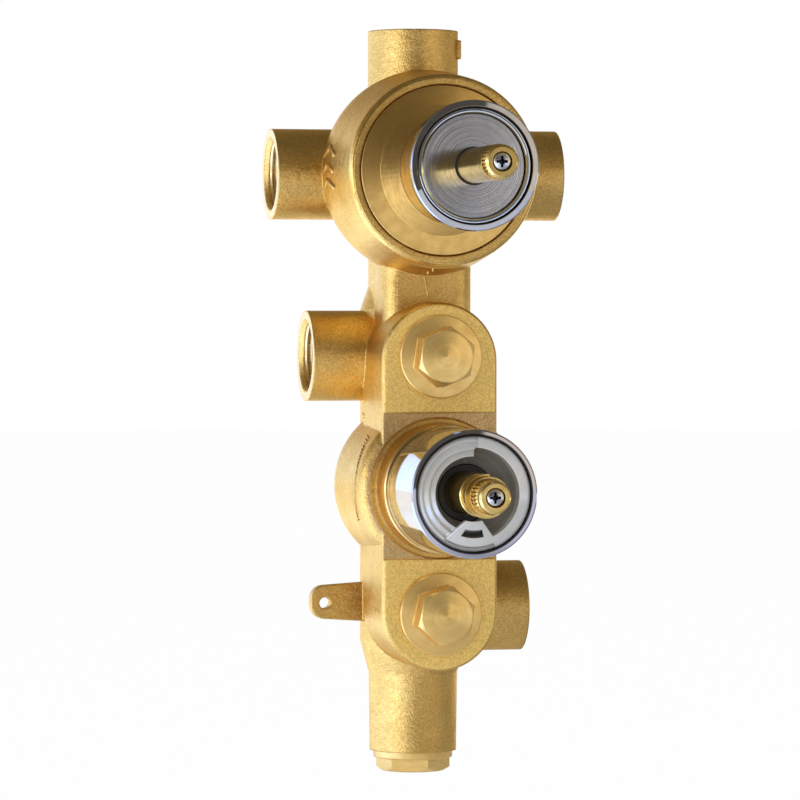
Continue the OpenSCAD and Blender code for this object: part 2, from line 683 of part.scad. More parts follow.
// A flat high rim on the right, stepped ledges on the left, and a slotted lug at the bottom
module stop_ring() color("gainsboro") cartridge_at(mixer_drop) {
    outer = sleeve_in_r - gap;
    ridge = outer - 1.8;
    ledge = mouth_r - 0.6;
    low_in = mouth_r - 3.2;
    high_from = -68;
    high_to = 86;
    low_span = 360 - high_to + high_from;
    difference() {
        turned([[mouth_r, ring_back_f], [outer, ring_back_f], [outer, ring_front_f - 0.4],
            [outer - 0.4, ring_front_f], [mouth_r, ring_front_f]]);
        rotate([0, 0, high_to]) rotate_extrude(angle = low_span)
            polygon([[mouth_r - over, ring_front_f - 2.2], [ridge, ring_front_f - 2.2],
                [ridge, ring_front_f - 0.8], [outer - 0.4, ring_front_f - 0.8],
                [outer + over, ring_front_f - 1.2 - over], [outer + over, ring_front_f + over],
                [mouth_r - over, ring_front_f + over]]);
    }
    rotate([0, 0, high_to + 1]) rotate_extrude(angle = low_span - 2)
        polygon([[low_in, ring_back_f + 0.8], [mouth_r + 0.3, ring_back_f + 0.8],
            [mouth_r + 0.3, ring_front_f - 2.2], [ledge, ring_front_f - 2.2],
            [ledge, ring_front_f - 3.6], [low_in, ring_front_f - 3.6]]);
    difference() {
        lug_in = mouth_r - 6.6;
        translate([0, 0, ring_back_f + 2.4]) linear_extrude(stop_len - 2.4)
            polygon(concat(arc([0, 0], lug_in, 253, 287, 8),
                arc([0, 0], ridge + 0.2, 296, 236, 10)));
        translate([0, 0, ring_back_f]) linear_extrude(stop_len + over)
            polygon(concat(arc([0, 0], lug_in + 3.2, 256, 283, 8),
                arc([0, 0], ledge - 0.3, 283, 252, 8)));
    }
}

module spindle_bush() color("black") cartridge_at(mixer_drop)
    turned([[spindle_r + run, bush_back_f], [bush_r, bush_back_f], [bush_r, dish_floor_f - 0.4],
        [bush_r - 0.4, dish_floor_f], [spindle_r + 1.5, dish_floor_f],
        [spindle_r + 1.5, dish_floor_f - 1.2], [spindle_r + run, dish_floor_f - 1.2]]);

module cartridge_body() color("khaki") cartridge_at(mixer_drop) difference() {
    screen_r = cartridge_r - 0.9;
    turned([[0, tail_end_f], [tail_bore_r - loose, tail_end_f], [tail_bore_r - loose, tail_seat_f],
        [cartridge_r, tail_seat_f], [cartridge_r, cold_window_f - 4.2],
        [screen_r, cold_window_f - 4.2], [screen_r, cold_window_f + 4.2],
        [cartridge_r, cold_window_f + 4.2], [cartridge_r, hot_window_f - 4.2],
        [screen_r, hot_window_f - 4.2], [screen_r, hot_window_f + 4.2],
        [cartridge_r, hot_window_f + 4.2], [cartridge_r, nut_inner_f],
        [cartridge_neck_r, nut_inner_f], [cartridge_neck_r, cartridge_front_f], [0, cartridge_front_f]]);
    rod(6, tail_end_f - over, tail_seat_f);
    rod(tail_bore_r - loose - 2.6, tail_end_f + tail_wall, tail_seat_f + over);
    rod(shuttle_bore_r, tail_seat_f, step_f);
    rod(driver_bore_r, step_f - over, bearing_f);
    rod(bearing_r, bearing_f - over, cartridge_front_f + over);
    for (f = mixer_ring_f) o_groove(cartridge_r - 2, cartridge_r + over, f, 2);
    for (a = [0:60:300]) rotate([0, 0, a]) {
        for (f = [hot_window_f, cold_window_f])
            translate([0, -3.5, f - window_half]) cube([cartridge_r + over, 7, 2 * window_half]);
        translate([6, -2.5, tail_end_f + tail_wall + 1.5]) cube([cartridge_r, 5, 8]);
    }
    for (s = [0, 180]) rotate([0, 0, s])
        translate([0, -key_half - gap, step_f - over]) cube([key_r + loose, 2 * (key_half + gap), 20]);
}

module cartridge_o_rings() color("black") cartridge_at(mixer_drop)
    for (f = mixer_ring_f) o_ring(cartridge_r - 1, f, 0.9);

module inlet_screens() color("silver") cartridge_at(mixer_drop)
    for (f = [hot_window_f, cold_window_f]) tube(cartridge_r - 0.3, cartridge_r - 0.85, f - 4.1, f + 4.1);

module mixer_thrust_washer() color("ivory") cartridge_at(mixer_drop)
    tube(driver_bore_r - loose, bearing_r + run, bearing_f - washer_t - run, bearing_f - run);

// Mixing cartridge, pieces that turn with the temperature spindle

module temperature_spindle() color("darkkhaki") cartridge_at(mixer_drop) difference() {
    flange_end = bearing_f - washer_t - 2 * run;
    union() {
        turned([[0, stud_start_f], [spindle_stud_r, stud_start_f], [spindle_stud_r, spindle_flange_f],
            [driver_bore_r - loose, spindle_flange_f], [driver_bore_r - loose, flange_end],
            [bearing_r - run, flange_end], [bearing_r - run, spindle_start_f - 0.3],
            [0, spindle_start_f - 0.3]]);
        flatted_rod(core_r, core_flat, spindle_start_f - 1, spindle_core_end_f);
    }
    o_groove(bearing_r - 1.7, bearing_r + over, cartridge_front_f - 5, 1.9);
    rod(screw_r + run, spindle_core_end_f - screw_len + 4, spindle_core_end_f + over);
}

module temperature_spindle_o_ring() color("black") cartridge_at(mixer_drop)
    o_ring(bearing_r - 0.87, cartridge_front_f - 5, 0.8);

module temperature_extension() color("gold") cartridge_at(mixer_drop) difference() {
    union() {
        turned([[0, spindle_start_f], [spindle_r, spindle_start_f], [spindle_r, shoulder_f - 0.3],
            [spindle_r - 0.3, shoulder_f], [spindle_front_r, shoulder_f],
            [spindle_front_r, clip_f - clip_t / 2 - gap],
            [spindle_front_r - 1, clip_f - clip_t / 2 - gap],
            [spindle_front_r - 1, clip_f + clip_t / 2 + gap], [spindle_front_r, clip_f + clip_t / 2 + gap],
            [spindle_front_r, spindle_teeth_f - 0.8], [spindle_front_r - 1, spindle_teeth_f - 0.8],
            [spindle_front_r - 1, spindle_teeth_f + 0.1], [0, spindle_teeth_f + 0.1]]);
        intersection() {
            serrations(spindle_front_r - 0.65, spindle_front_r - 1.1, spindle_teeth_f, spindle_end_f);
            turned([[0, spindle_teeth_f], [spindle_front_r, spindle_teeth_f],
                [spindle_front_r - 1.15, spindle_end_f - 3], [spindle_front_r - 1.3, spindle_end_f - 1],
                [spindle_front_r - 2, spindle_end_f], [0, spindle_end_f]]);
        }
    }
    flatted_rod(core_r + run, core_flat + run, spindle_start_f - over, spindle_core_end_f + loose);
    rod(screw_r + 0.15, spindle_core_end_f, spindle_end_f + over);
    rod(screw_head_r + 0.15, spindle_end_f - screw_sink, spindle_end_f + over);
}

module temperature_screw() color("silver") cartridge_at(mixer_drop)
    translate([0, 0, spindle_end_f - screw_sink + seat]) cross_screw(screw_len);

module extension_clip() color("silver") cartridge_at(mixer_drop) {
    inner = spindle_front_r - 1 + run;
    outer = spindle_front_r + 0.8;
    clip_gap = 44;
    rotate([0, 0, 60 + clip_gap / 2]) translate([0, 0, clip_f - clip_t / 2])
        rotate_extrude(angle = 360 - clip_gap) translate([inner, 0]) square([outer - inner, clip_t]);
}

// Mixing cartridge, pieces that slide with the driver nut

module driver_nut() color("tan") cartridge_at(mixer_drop) difference() {
    guide_r = driver_bore_r - loose;
    union() {
        turned([[guide_r - 2.4, driver_back_f], [guide_r, driver_back_f], [guide_r, driver_floor_f + 4],
            [5.5, driver_floor_f + 4], [5.5, driver_boss_f], [spindle_stud_r + run, driver_boss_f],
            [spindle_stud_r + run, driver_floor_f], [guide_r - 2.4, driver_floor_f]]);
        for (s = [-1, 1])
            translate([s > 0 ? guide_r - 1 : -key_r, -key_half, driver_back_f + 2])
                cube([key_r - guide_r + 1, 2 * key_half, 12]);
    }
}

module overload_spring() color("silver") cartridge_at(mixer_drop)
    coil(5.2, 0.7, driver_back_f + 1.7, driver_floor_f - 0.1, 5);

module wax_element() color("peru") cartridge_at(mixer_drop)
    turned([[0, wax_back_f], [4, wax_back_f], [5, wax_back_f + 1], [5, web_f - web_t],
        [wax_collar_r, web_f - web_t], [wax_collar_r, web_f], [2.5, web_f], [2.5, driver_back_f - 0.5],
        [wax_head_r, driver_back_f - 0.5], [wax_head_r, driver_back_f + 1.5], [0, driver_back_f + 1.5]]);

module shuttle() color("khaki") cartridge_at(mixer_drop) difference() {
    turned([[shuttle_bore_r - 1.8, shuttle_back_f], [shuttle_bore_r - run, shuttle_back_f],
        [shuttle_bore_r - run, shuttle_back_f + shuttle_len],
        [shuttle_bore_r - 1.8, shuttle_back_f + shuttle_len], [shuttle_bore_r - 1.8, web_f + web_t],
        [2.7, web_f + web_t], [2.7, web_f + seat], [shuttle_bore_r - 1.8, web_f + seat]]);
    for (a = [0:60:300]) rotate([0, 0, a])
        translate([web_hole_pitch, 0, 0]) rod(1.7, web_f - over, web_f + web_t + over);
}

module return_spring() color("silver") cartridge_at(mixer_drop)
    coil(7.2, 0.8, tail_end_f + tail_wall + 0.1, web_f - web_t - 0.1, 6);

// Check valve behind a hexagon plug

module check_strainer() difference() {
    tube(strainer_r, strainer_r - 0.5, cage_end_f + gap, slab_face - shank_len - gap);
    for (a = [0:45:315]) rotate([0, 0, a + 10])
        translate([0, -1.6, cage_end_f + 3])
            cube([strainer_r + over, 3.2, check_shoulder - cage_end_f - 6]);
}

module check_cage() difference() {
    rod(check_cage_r, check_floor, cage_end_f);
    rod(poppet_r - 1.2, check_floor - over, poppet_seat_f + over);
    rod(check_cage_r - 2.2, poppet_seat_f, spider_f);
    rod(poppet_stem_r + run, spider_f - over, cage_end_f + over);
    for (a = [45:90:315]) rotate([0, 0, a])
        translate([5.4, 0, 0]) rod(2.2, spider_f - over, cage_end_f + over);
}

module check_poppet()
    turned([[0, poppet_seat_f + seat], [poppet_r, poppet_seat_f + seat],
        [poppet_r, poppet_seat_f + poppet_t - 0.5], [poppet_r - 0.5, poppet_seat_f + poppet_t],
        [poppet_stem_r, poppet_seat_f + poppet_t], [poppet_stem_r, spider_f + 4], [0, spider_f + 4]]);

module check_spring()
    coil(3.4, check_wire_r, poppet_seat_f + poppet_t + 0.05, spider_f - 0.05, check_turns);

module inlet_plug(turn) translate([0, 0, slab_face])
    hex_plug(plug_flange_r, 2, plug_flats, plug_h, plug_shank_r, shank_len, turn);
module inlet_plug_o_ring() translate([0, 0, slab_face]) plug_o_ring(plug_shank_r);

module hot_plug() color("goldenrod") cartridge_at(hot_drop) inlet_plug(22);
module hot_plug_o_ring() color("black") cartridge_at(hot_drop) inlet_plug_o_ring();
module hot_strainer() color("silver") cartridge_at(hot_drop) check_strainer();
module hot_check_cage() color("whitesmoke") cartridge_at(hot_drop) check_cage();
module hot_check_poppet() color("dimgray") cartridge_at(hot_drop) check_poppet();
module hot_check_spring() color("silver") cartridge_at(hot_drop) check_spring();
module cold_plug() color("goldenrod") cartridge_at(cold_drop) inlet_plug(18);
module cold_plug_o_ring() color("black") cartridge_at(cold_drop) inlet_plug_o_ring();
module cold_strainer() color("silver") cartridge_at(cold_drop) check_strainer();
module cold_check_cage() color("whitesmoke") cartridge_at(cold_drop) check_cage();
module cold_check_poppet() color("dimgray") cartridge_at(cold_drop) check_poppet();
module cold_check_spring() color("silver") cartridge_at(cold_drop) check_spring();

valve_body();
tube_plug();
tube_plug_o_ring();
diverter_bonnet();
bonnet_o_ring();
diverter_collar();
retaining_ring();
face_plate();
stem_wiper();
diverter_cage();
cage_o_ring();
fixed_disc();
disc_seal();
diverter_thrust_washer();
diverter_spindle();
diverter_spindle_o_ring();
moving_disc();
diverter_extension();
diverter_screw();
cartridge_nut();
trim_sleeve();
stop_ring();
spindle_bush();
cartridge_body();
cartridge_o_rings();
inlet_screens();
mixer_thrust_washer();
temperature_spindle();
temperature_spindle_o_ring();
temperature_extension();
temperature_screw();
extension_clip();
driver_nut();
overload_spring();
wax_element();
shuttle();
return_spring();
hot_plug();
hot_plug_o_ring();
hot_strainer();
hot_check_cage();
hot_check_poppet();
hot_check_spring();
cold_plug();
cold_plug_o_ring();
cold_strainer();
cold_check_cage();
cold_check_poppet();
cold_check_spring();
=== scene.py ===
import json
import math

import bpy
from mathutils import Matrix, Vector


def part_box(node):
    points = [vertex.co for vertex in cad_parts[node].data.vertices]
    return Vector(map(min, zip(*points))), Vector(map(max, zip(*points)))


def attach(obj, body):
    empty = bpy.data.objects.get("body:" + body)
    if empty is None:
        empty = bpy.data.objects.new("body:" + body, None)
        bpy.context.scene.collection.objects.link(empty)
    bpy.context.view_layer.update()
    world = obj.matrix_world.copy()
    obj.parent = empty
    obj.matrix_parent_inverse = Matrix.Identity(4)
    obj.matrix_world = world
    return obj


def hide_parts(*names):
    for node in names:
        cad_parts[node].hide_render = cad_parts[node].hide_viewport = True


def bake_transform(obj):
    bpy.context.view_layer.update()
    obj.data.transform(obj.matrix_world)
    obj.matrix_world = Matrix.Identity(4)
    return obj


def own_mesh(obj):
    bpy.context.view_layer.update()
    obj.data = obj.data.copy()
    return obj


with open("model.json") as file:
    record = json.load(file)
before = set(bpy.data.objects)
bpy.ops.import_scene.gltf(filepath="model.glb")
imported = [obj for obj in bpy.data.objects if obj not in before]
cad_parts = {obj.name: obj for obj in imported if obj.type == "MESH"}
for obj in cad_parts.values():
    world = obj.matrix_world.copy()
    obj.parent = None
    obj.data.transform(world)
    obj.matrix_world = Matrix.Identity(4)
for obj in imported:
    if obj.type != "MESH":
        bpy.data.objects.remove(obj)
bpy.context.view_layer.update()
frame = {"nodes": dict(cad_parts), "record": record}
nodes = frame["nodes"]
bpy.ops.object.select_all(action="DESELECT")
print("frame loaded:", len(nodes), "nodes")

mm = 0.001

# drops of the axes below the top outlet, and reaches of the sockets, as in the CAD
levels = {"diverter": 51.4, "hot": 118.0, "mixer": 165.3, "cold": 210.7, "tube": 263.6}
sockets = {"outletReach": 52.0, "inletReach": 38.9}


cameraSettings = {"place": (-0.3389, -1.5375, -0.1050), "aim": (-0.00485, 0.0, -0.13439), "lens": 191.74}
lampSettings = [
    # name, place, size, watts
    ("leftBox", (-1.3, -0.8, -0.35), (1.2, 0.9), 6.5),
    ("topBox", (0.1, -0.5, 1.3), (1.4, 1.0), 4),
    ("rightBox", (1.5, -0.9, 0.0), (0.8, 1.4), 1.5),
]
# strengths of the studio's walls, and the dark gap beside the camera as tangents of its sides and top
worldSettings = {"wall": 0.47, "left": 0.97, "leftFrom": 0.48, "leftTo": 0.86, "behind": 0.75,
                 "leftHigh": (0.60, 0.10), "right": 0.66, "rightHigh": (0.55, 0.15),
                 "rightFrom": 0.74, "rightTo": 0.98, "up": 0.72, "down": 0.30, "diffuse": 0.66,
                 "warm": (1.0, 0.90, 0.77), "cool": (1.0, 1.30, 2.2), "gap": 0.13, "gapLeft": (-0.62, -0.34),
                 "gapRight": (0.235, 0.262), "gapSlant": 0.15, "gapTop": (0.45, 0.80)}
# the paper is bright at the left in what metal mirrors, and dim at the right, from and to in m
floorSettings = {"drop": 0.300, "size": 12.0, "glow": 0.97, "mirrored": (1.4, 0.40), "across": (-0.22, 0.12),
                 "pool": 1.9, "poolNear": (-0.06, -0.16), "poolFar": (-0.95, -0.65), "poolSides": (0.75, 0.45),
                 "ahead": (-0.35, -0.75), "aheadLevel": 0.95, "beyond": (0.12, 0.40), "beyondLevel": 1.35,
                 "tint": (1.0, 1.04, 1.20), "poolTint": (1.0, 1.27, 2.0)}


def lookAt(obj, aim):
    direction = Vector(aim) - obj.location
    obj.rotation_euler = direction.to_track_quat("-Z", "Y").to_euler()


bpy.ops.object.camera_add(location=cameraSettings["place"])
camera = bpy.context.object
lookAt(camera, cameraSettings["aim"])
camera.data.lens = cameraSettings["lens"]
camera.data.sensor_width = 36
camera.data.clip_end = 30
bpy.context.scene.camera = camera

for name, place, size, watts in lampSettings:
    bpy.ops.object.light_add(type="AREA", location=place)
    lamp = bpy.context.object
    lamp.name = name
    lamp.data.shape = "RECTANGLE"
    lamp.data.size, lamp.data.size_y = size
    lamp.data.energy = watts
    lamp.visible_glossy = name == "leftBox"
    lookAt(lamp, (0, -0.04, -0.13))

bpy.context.scene.view_settings.view_transform = "Standard"


def mathNode(tree, operation, first, second):
    node = tree.nodes.new("ShaderNodeMath")
    node.operation = operation
    for socket, value in zip(node.inputs, (first, second)):
        if isinstance(value, (int, float)):
            socket.default_value = value
        else:
            tree.links.new(value, socket)
    return node.outputs[0]


def softStep(tree, value, low, high):
    node = tree.nodes.new("ShaderNodeMapRange")
    node.interpolation_type = "SMOOTHSTEP"
    if low < high:
        limits = (low, high, 0, 1)
    else:
        limits = (high, low, 1, 0)
    for name, limit in zip(("From Min", "From Max", "To Min", "To Max"), limits):
        node.inputs[name].default_value = limit
    tree.links.new(value, node.inputs["Value"])
    return node.outputs[0]


def spread(tree, value, low, high, fromLow=0.3, fromHigh=0.7):
    node = tree.nodes.new("ShaderNodeMapRange")
    node.inputs["From Min"].default_value = fromLow
    node.inputs["From Max"].default_value = fromHigh
    node.inputs["To Min"].default_value = low
    node.inputs["To Max"].default_value = high
    tree.links.new(value, node.inputs["Value"])
    return node.outputs[0]


def product(tree, *values):
    result = values[0]
    for value in values[1:]:
        result = mathNode(tree, "MULTIPLY", result, value)
    return result


def blended(tree, share, first, second):
    node = tree.nodes.new("ShaderNodeMix")
    node.data_type = "RGBA"
    tree.links.new(share, node.inputs["Factor"])
    tree.links.new(first, node.inputs[6])
    node.inputs[7].default_value = (*second, 1)
    return node.outputs[2]


def buildWorld():
    world = bpy.data.worlds.new("studio")
    bpy.context.scene.world = world
    world.use_nodes = True
    tree = world.node_tree
    tree.nodes.clear()
    output = tree.nodes.new("ShaderNodeOutputWorld")
    seen = tree.nodes.new("ShaderNodeBackground")      # what the camera sees
    mirrored = tree.nodes.new("ShaderNodeBackground")  # what metal shows
    soft = tree.nodes.new("ShaderNodeBackground")      # what lights matt surfaces
    seen.inputs["Color"].default_value = (1, 1, 1, 1)
    soft.inputs["Color"].default_value = (1, 1, 1, 1)
    soft.inputs["Strength"].default_value = worldSettings["diffuse"]
    place = tree.nodes.new("ShaderNodeTexCoord")
    parts = tree.nodes.new("ShaderNodeSeparateXYZ")
    tree.links.new(place.outputs["Generated"], parts.inputs[0])
    side = parts.outputs["X"]
    forward = mathNode(tree, "MAXIMUM", mathNode(tree, "MULTIPLY", parts.outputs["Y"], -1), 0.001)
    back = mathNode(tree, "MULTIPLY", mathNode(tree, "MAXIMUM", parts.outputs["Y"], 0), worldSettings["behind"])
    left = softStep(tree, mathNode(tree, "SUBTRACT", side, back),
                    -worldSettings["leftFrom"], -worldSettings["leftTo"])
    left = mathNode(tree, "MULTIPLY", left, softStep(tree, parts.outputs["Z"], *worldSettings["leftHigh"]))
    right = mathNode(tree, "MULTIPLY", softStep(tree, side, worldSettings["rightTo"], worldSettings["rightFrom"]),
                     softStep(tree, parts.outputs["Y"], 0.05, -0.15))
    right = product(tree, right, softStep(tree, side, 0.0, 0.1),
                    softStep(tree, parts.outputs["Z"], *worldSettings["rightHigh"]))
    tint = tree.nodes.new("ShaderNodeMix")
    tint.data_type = "RGBA"
    tree.links.new(product(tree, left, left, left), tint.inputs["Factor"])
    tint.inputs[6].default_value = (*worldSettings["warm"], 1)
    tint.inputs[7].default_value = (*worldSettings["cool"], 1)
    tree.links.new(tint.outputs[2], mirrored.inputs["Color"])
    wall = mathNode(tree, "ADD", mathNode(tree, "MULTIPLY", left, worldSettings["left"]), worldSettings["wall"])
    wall = mathNode(tree, "ADD", wall, mathNode(tree, "MULTIPLY", right, worldSettings["right"]))
    above = mathNode(tree, "MULTIPLY", mathNode(tree, "MAXIMUM", parts.outputs["Z"], 0), -worldSettings["up"])
    below = mathNode(tree, "MULTIPLY", mathNode(tree, "MINIMUM", parts.outputs["Z"], 0), -worldSettings["down"])
    level = mathNode(tree, "ADD", mathNode(tree, "ADD", above, below), 1)
    wall = mathNode(tree, "MULTIPLY", wall, level)
    across = mathNode(tree, "DIVIDE", parts.outputs["X"], forward)
    height = mathNode(tree, "DIVIDE", parts.outputs["Z"], forward)
    gapLow, gapHigh = worldSettings["gapLeft"]
    inside = softStep(tree, across, gapLow, gapHigh)
    gapLow, gapHigh = worldSettings["gapRight"]
    slanted = mathNode(tree, "SUBTRACT", across, mathNode(tree, "MULTIPLY", height, worldSettings["gapSlant"]))
    inside = mathNode(tree, "MULTIPLY", inside, softStep(tree, slanted, gapHigh, gapLow))
    gapLow, gapHigh = worldSettings["gapTop"]
    inside = mathNode(tree, "MULTIPLY", inside,
                      softStep(tree, mathNode(tree, "ABSOLUTE", height, 0), gapHigh, gapLow))
    lost = mathNode(tree, "MULTIPLY", inside, mathNode(tree, "SUBTRACT", wall, worldSettings["gap"]))
    tree.links.new(mathNode(tree, "SUBTRACT", wall, lost), mirrored.inputs["Strength"])
    path = tree.nodes.new("ShaderNodeLightPath")
    shine = mathNode(tree, "MAXIMUM", path.outputs["Is Glossy Ray"], path.outputs["Is Transmission Ray"])
    first = tree.nodes.new("ShaderNodeMixShader")
    second = tree.nodes.new("ShaderNodeMixShader")
    tree.links.new(shine, first.inputs[0])
    tree.links.new(soft.outputs[0], first.inputs[1])
    tree.links.new(mirrored.outputs[0], first.inputs[2])
    tree.links.new(path.outputs["Is Camera Ray"], second.inputs[0])
    tree.links.new(first.outputs[0], second.inputs[1])
    tree.links.new(seen.outputs[0], second.inputs[2])
    tree.links.new(second.outputs[0], output.inputs[0])


def buildFloor():
    bpy.ops.mesh.primitive_plane_add(size=floorSettings["size"], location=(0, 0, -floorSettings["drop"]))
    floor = bpy.context.object
    floor.name = "floor"
    material = bpy.data.materials.new("floorPaper")
    material.use_nodes = True
    tree = material.node_tree
    tree.nodes.clear()
    output = tree.nodes.new("ShaderNodeOutputMaterial")
    paper = tree.nodes.new("ShaderNodeBsdfDiffuse")
    paper.inputs["Color"].default_value = (0.9, 0.9, 0.9, 1)
    glow = tree.nodes.new("ShaderNodeEmission")
    path = tree.nodes.new("ShaderNodeLightPath")
    shown = path.outputs["Is Camera Ray"]
    shine = mathNode(tree, "MAXIMUM", path.outputs["Is Glossy Ray"], path.outputs["Is Transmission Ray"])
    place = tree.nodes.new("ShaderNodeTexCoord")
    parts = tree.nodes.new("ShaderNodeSeparateXYZ")
    tree.links.new(place.outputs["Object"], parts.inputs[0])
    bright, dim = floorSettings["mirrored"]
    level = spread(tree, parts.outputs["X"], bright, dim, *floorSettings["across"])
    ahead = mathNode(tree, "MULTIPLY", softStep(tree, parts.outputs["Y"], *floorSettings["ahead"]),
                     floorSettings["aheadLevel"])
    level = mathNode(tree, "MAXIMUM", level, ahead)
    pool = product(tree, softStep(tree, parts.outputs["X"], *floorSettings["poolNear"]),
                   softStep(tree, parts.outputs["X"], *floorSettings["poolFar"]),
                   softStep(tree, mathNode(tree, "ABSOLUTE", parts.outputs["Y"], 0), *floorSettings["poolSides"]))
    level = mathNode(tree, "MAXIMUM", level, mathNode(tree, "MULTIPLY", pool, floorSettings["pool"]))
    beyond = mathNode(tree, "MULTIPLY", softStep(tree, parts.outputs["Y"], *floorSettings["beyond"]),
                      floorSettings["beyondLevel"])
    level = mathNode(tree, "MAXIMUM", level, beyond)
    tint = tree.nodes.new("ShaderNodeMix")
    tint.data_type = "RGBA"
    tree.links.new(pool, tint.inputs["Factor"])
    tint.inputs[6].default_value = (*floorSettings["tint"], 1)
    tint.inputs[7].default_value = (*floorSettings["poolTint"], 1)
    tree.links.new(blended(tree, shown, tint.outputs[2], (1, 1, 1)), glow.inputs["Color"])
    strength = mathNode(tree, "MAXIMUM", shown, mathNode(tree, "MULTIPLY", shine, level))
    tree.links.new(strength, glow.inputs["Strength"])
    share = mathNode(tree, "MAXIMUM", mathNode(tree, "MULTIPLY", shown, floorSettings["glow"]), shine)
    mixed = tree.nodes.new("ShaderNodeMixShader")
    tree.links.new(share, mixed.inputs[0])
    tree.links.new(paper.outputs[0], mixed.inputs[1])
    tree.links.new(glow.outputs[0], mixed.inputs[2])
    tree.links.new(mixed.outputs[0], output.inputs[0])
    floor.data.materials.append(material)


buildWorld()
buildFloor()
print("camera, light and floor done")


# colours, roughness from and to, and mm of each pattern's size and depth; speckle darkens the pits
castFinishes = {
    "castBrass": {"colour": (0.78, 0.50, 0.145), "second": (0.68, 0.42, 0.110), "rough": (0.32, 0.46),
                  # the pads' lighter colour and lower metal are partly their ground finish and partly painted light
                  "coat": 0.08, "padColour": (0.99, 0.68, 0.195), "padRough": 0.42, "padMetal": 0.40,
                  "bandColour": (0.72, 0.48, 0.20),
                  "endColour": (0.74, 0.52, 0.21), "endRough": 0.26, "rimRough": 0.18, "grain": 0.62, "grainDepth": 0.13,
                  "speckle": (0.74, 1.12), "lump": 2.0, "lumpDepth": 0.16, "wave": 11.0, "waveDepth": 0.25,
                  "edge": 0.9},
}
# where the casting's faces change their finish, in mm: ground pads (lighter, partly painted light), machined band and
# socket ends
castPlaces = {"padFront": 45.3, "padTop": 85.0, "bandFront": 44.7, "bandTop": 138.0, "bandLow": 190.8,
              "outletEnd": 53.35, "inletEnd": 40.25, "inletTop": 90.0, "rimRadius": 32.9, "rimFront": 50.9}
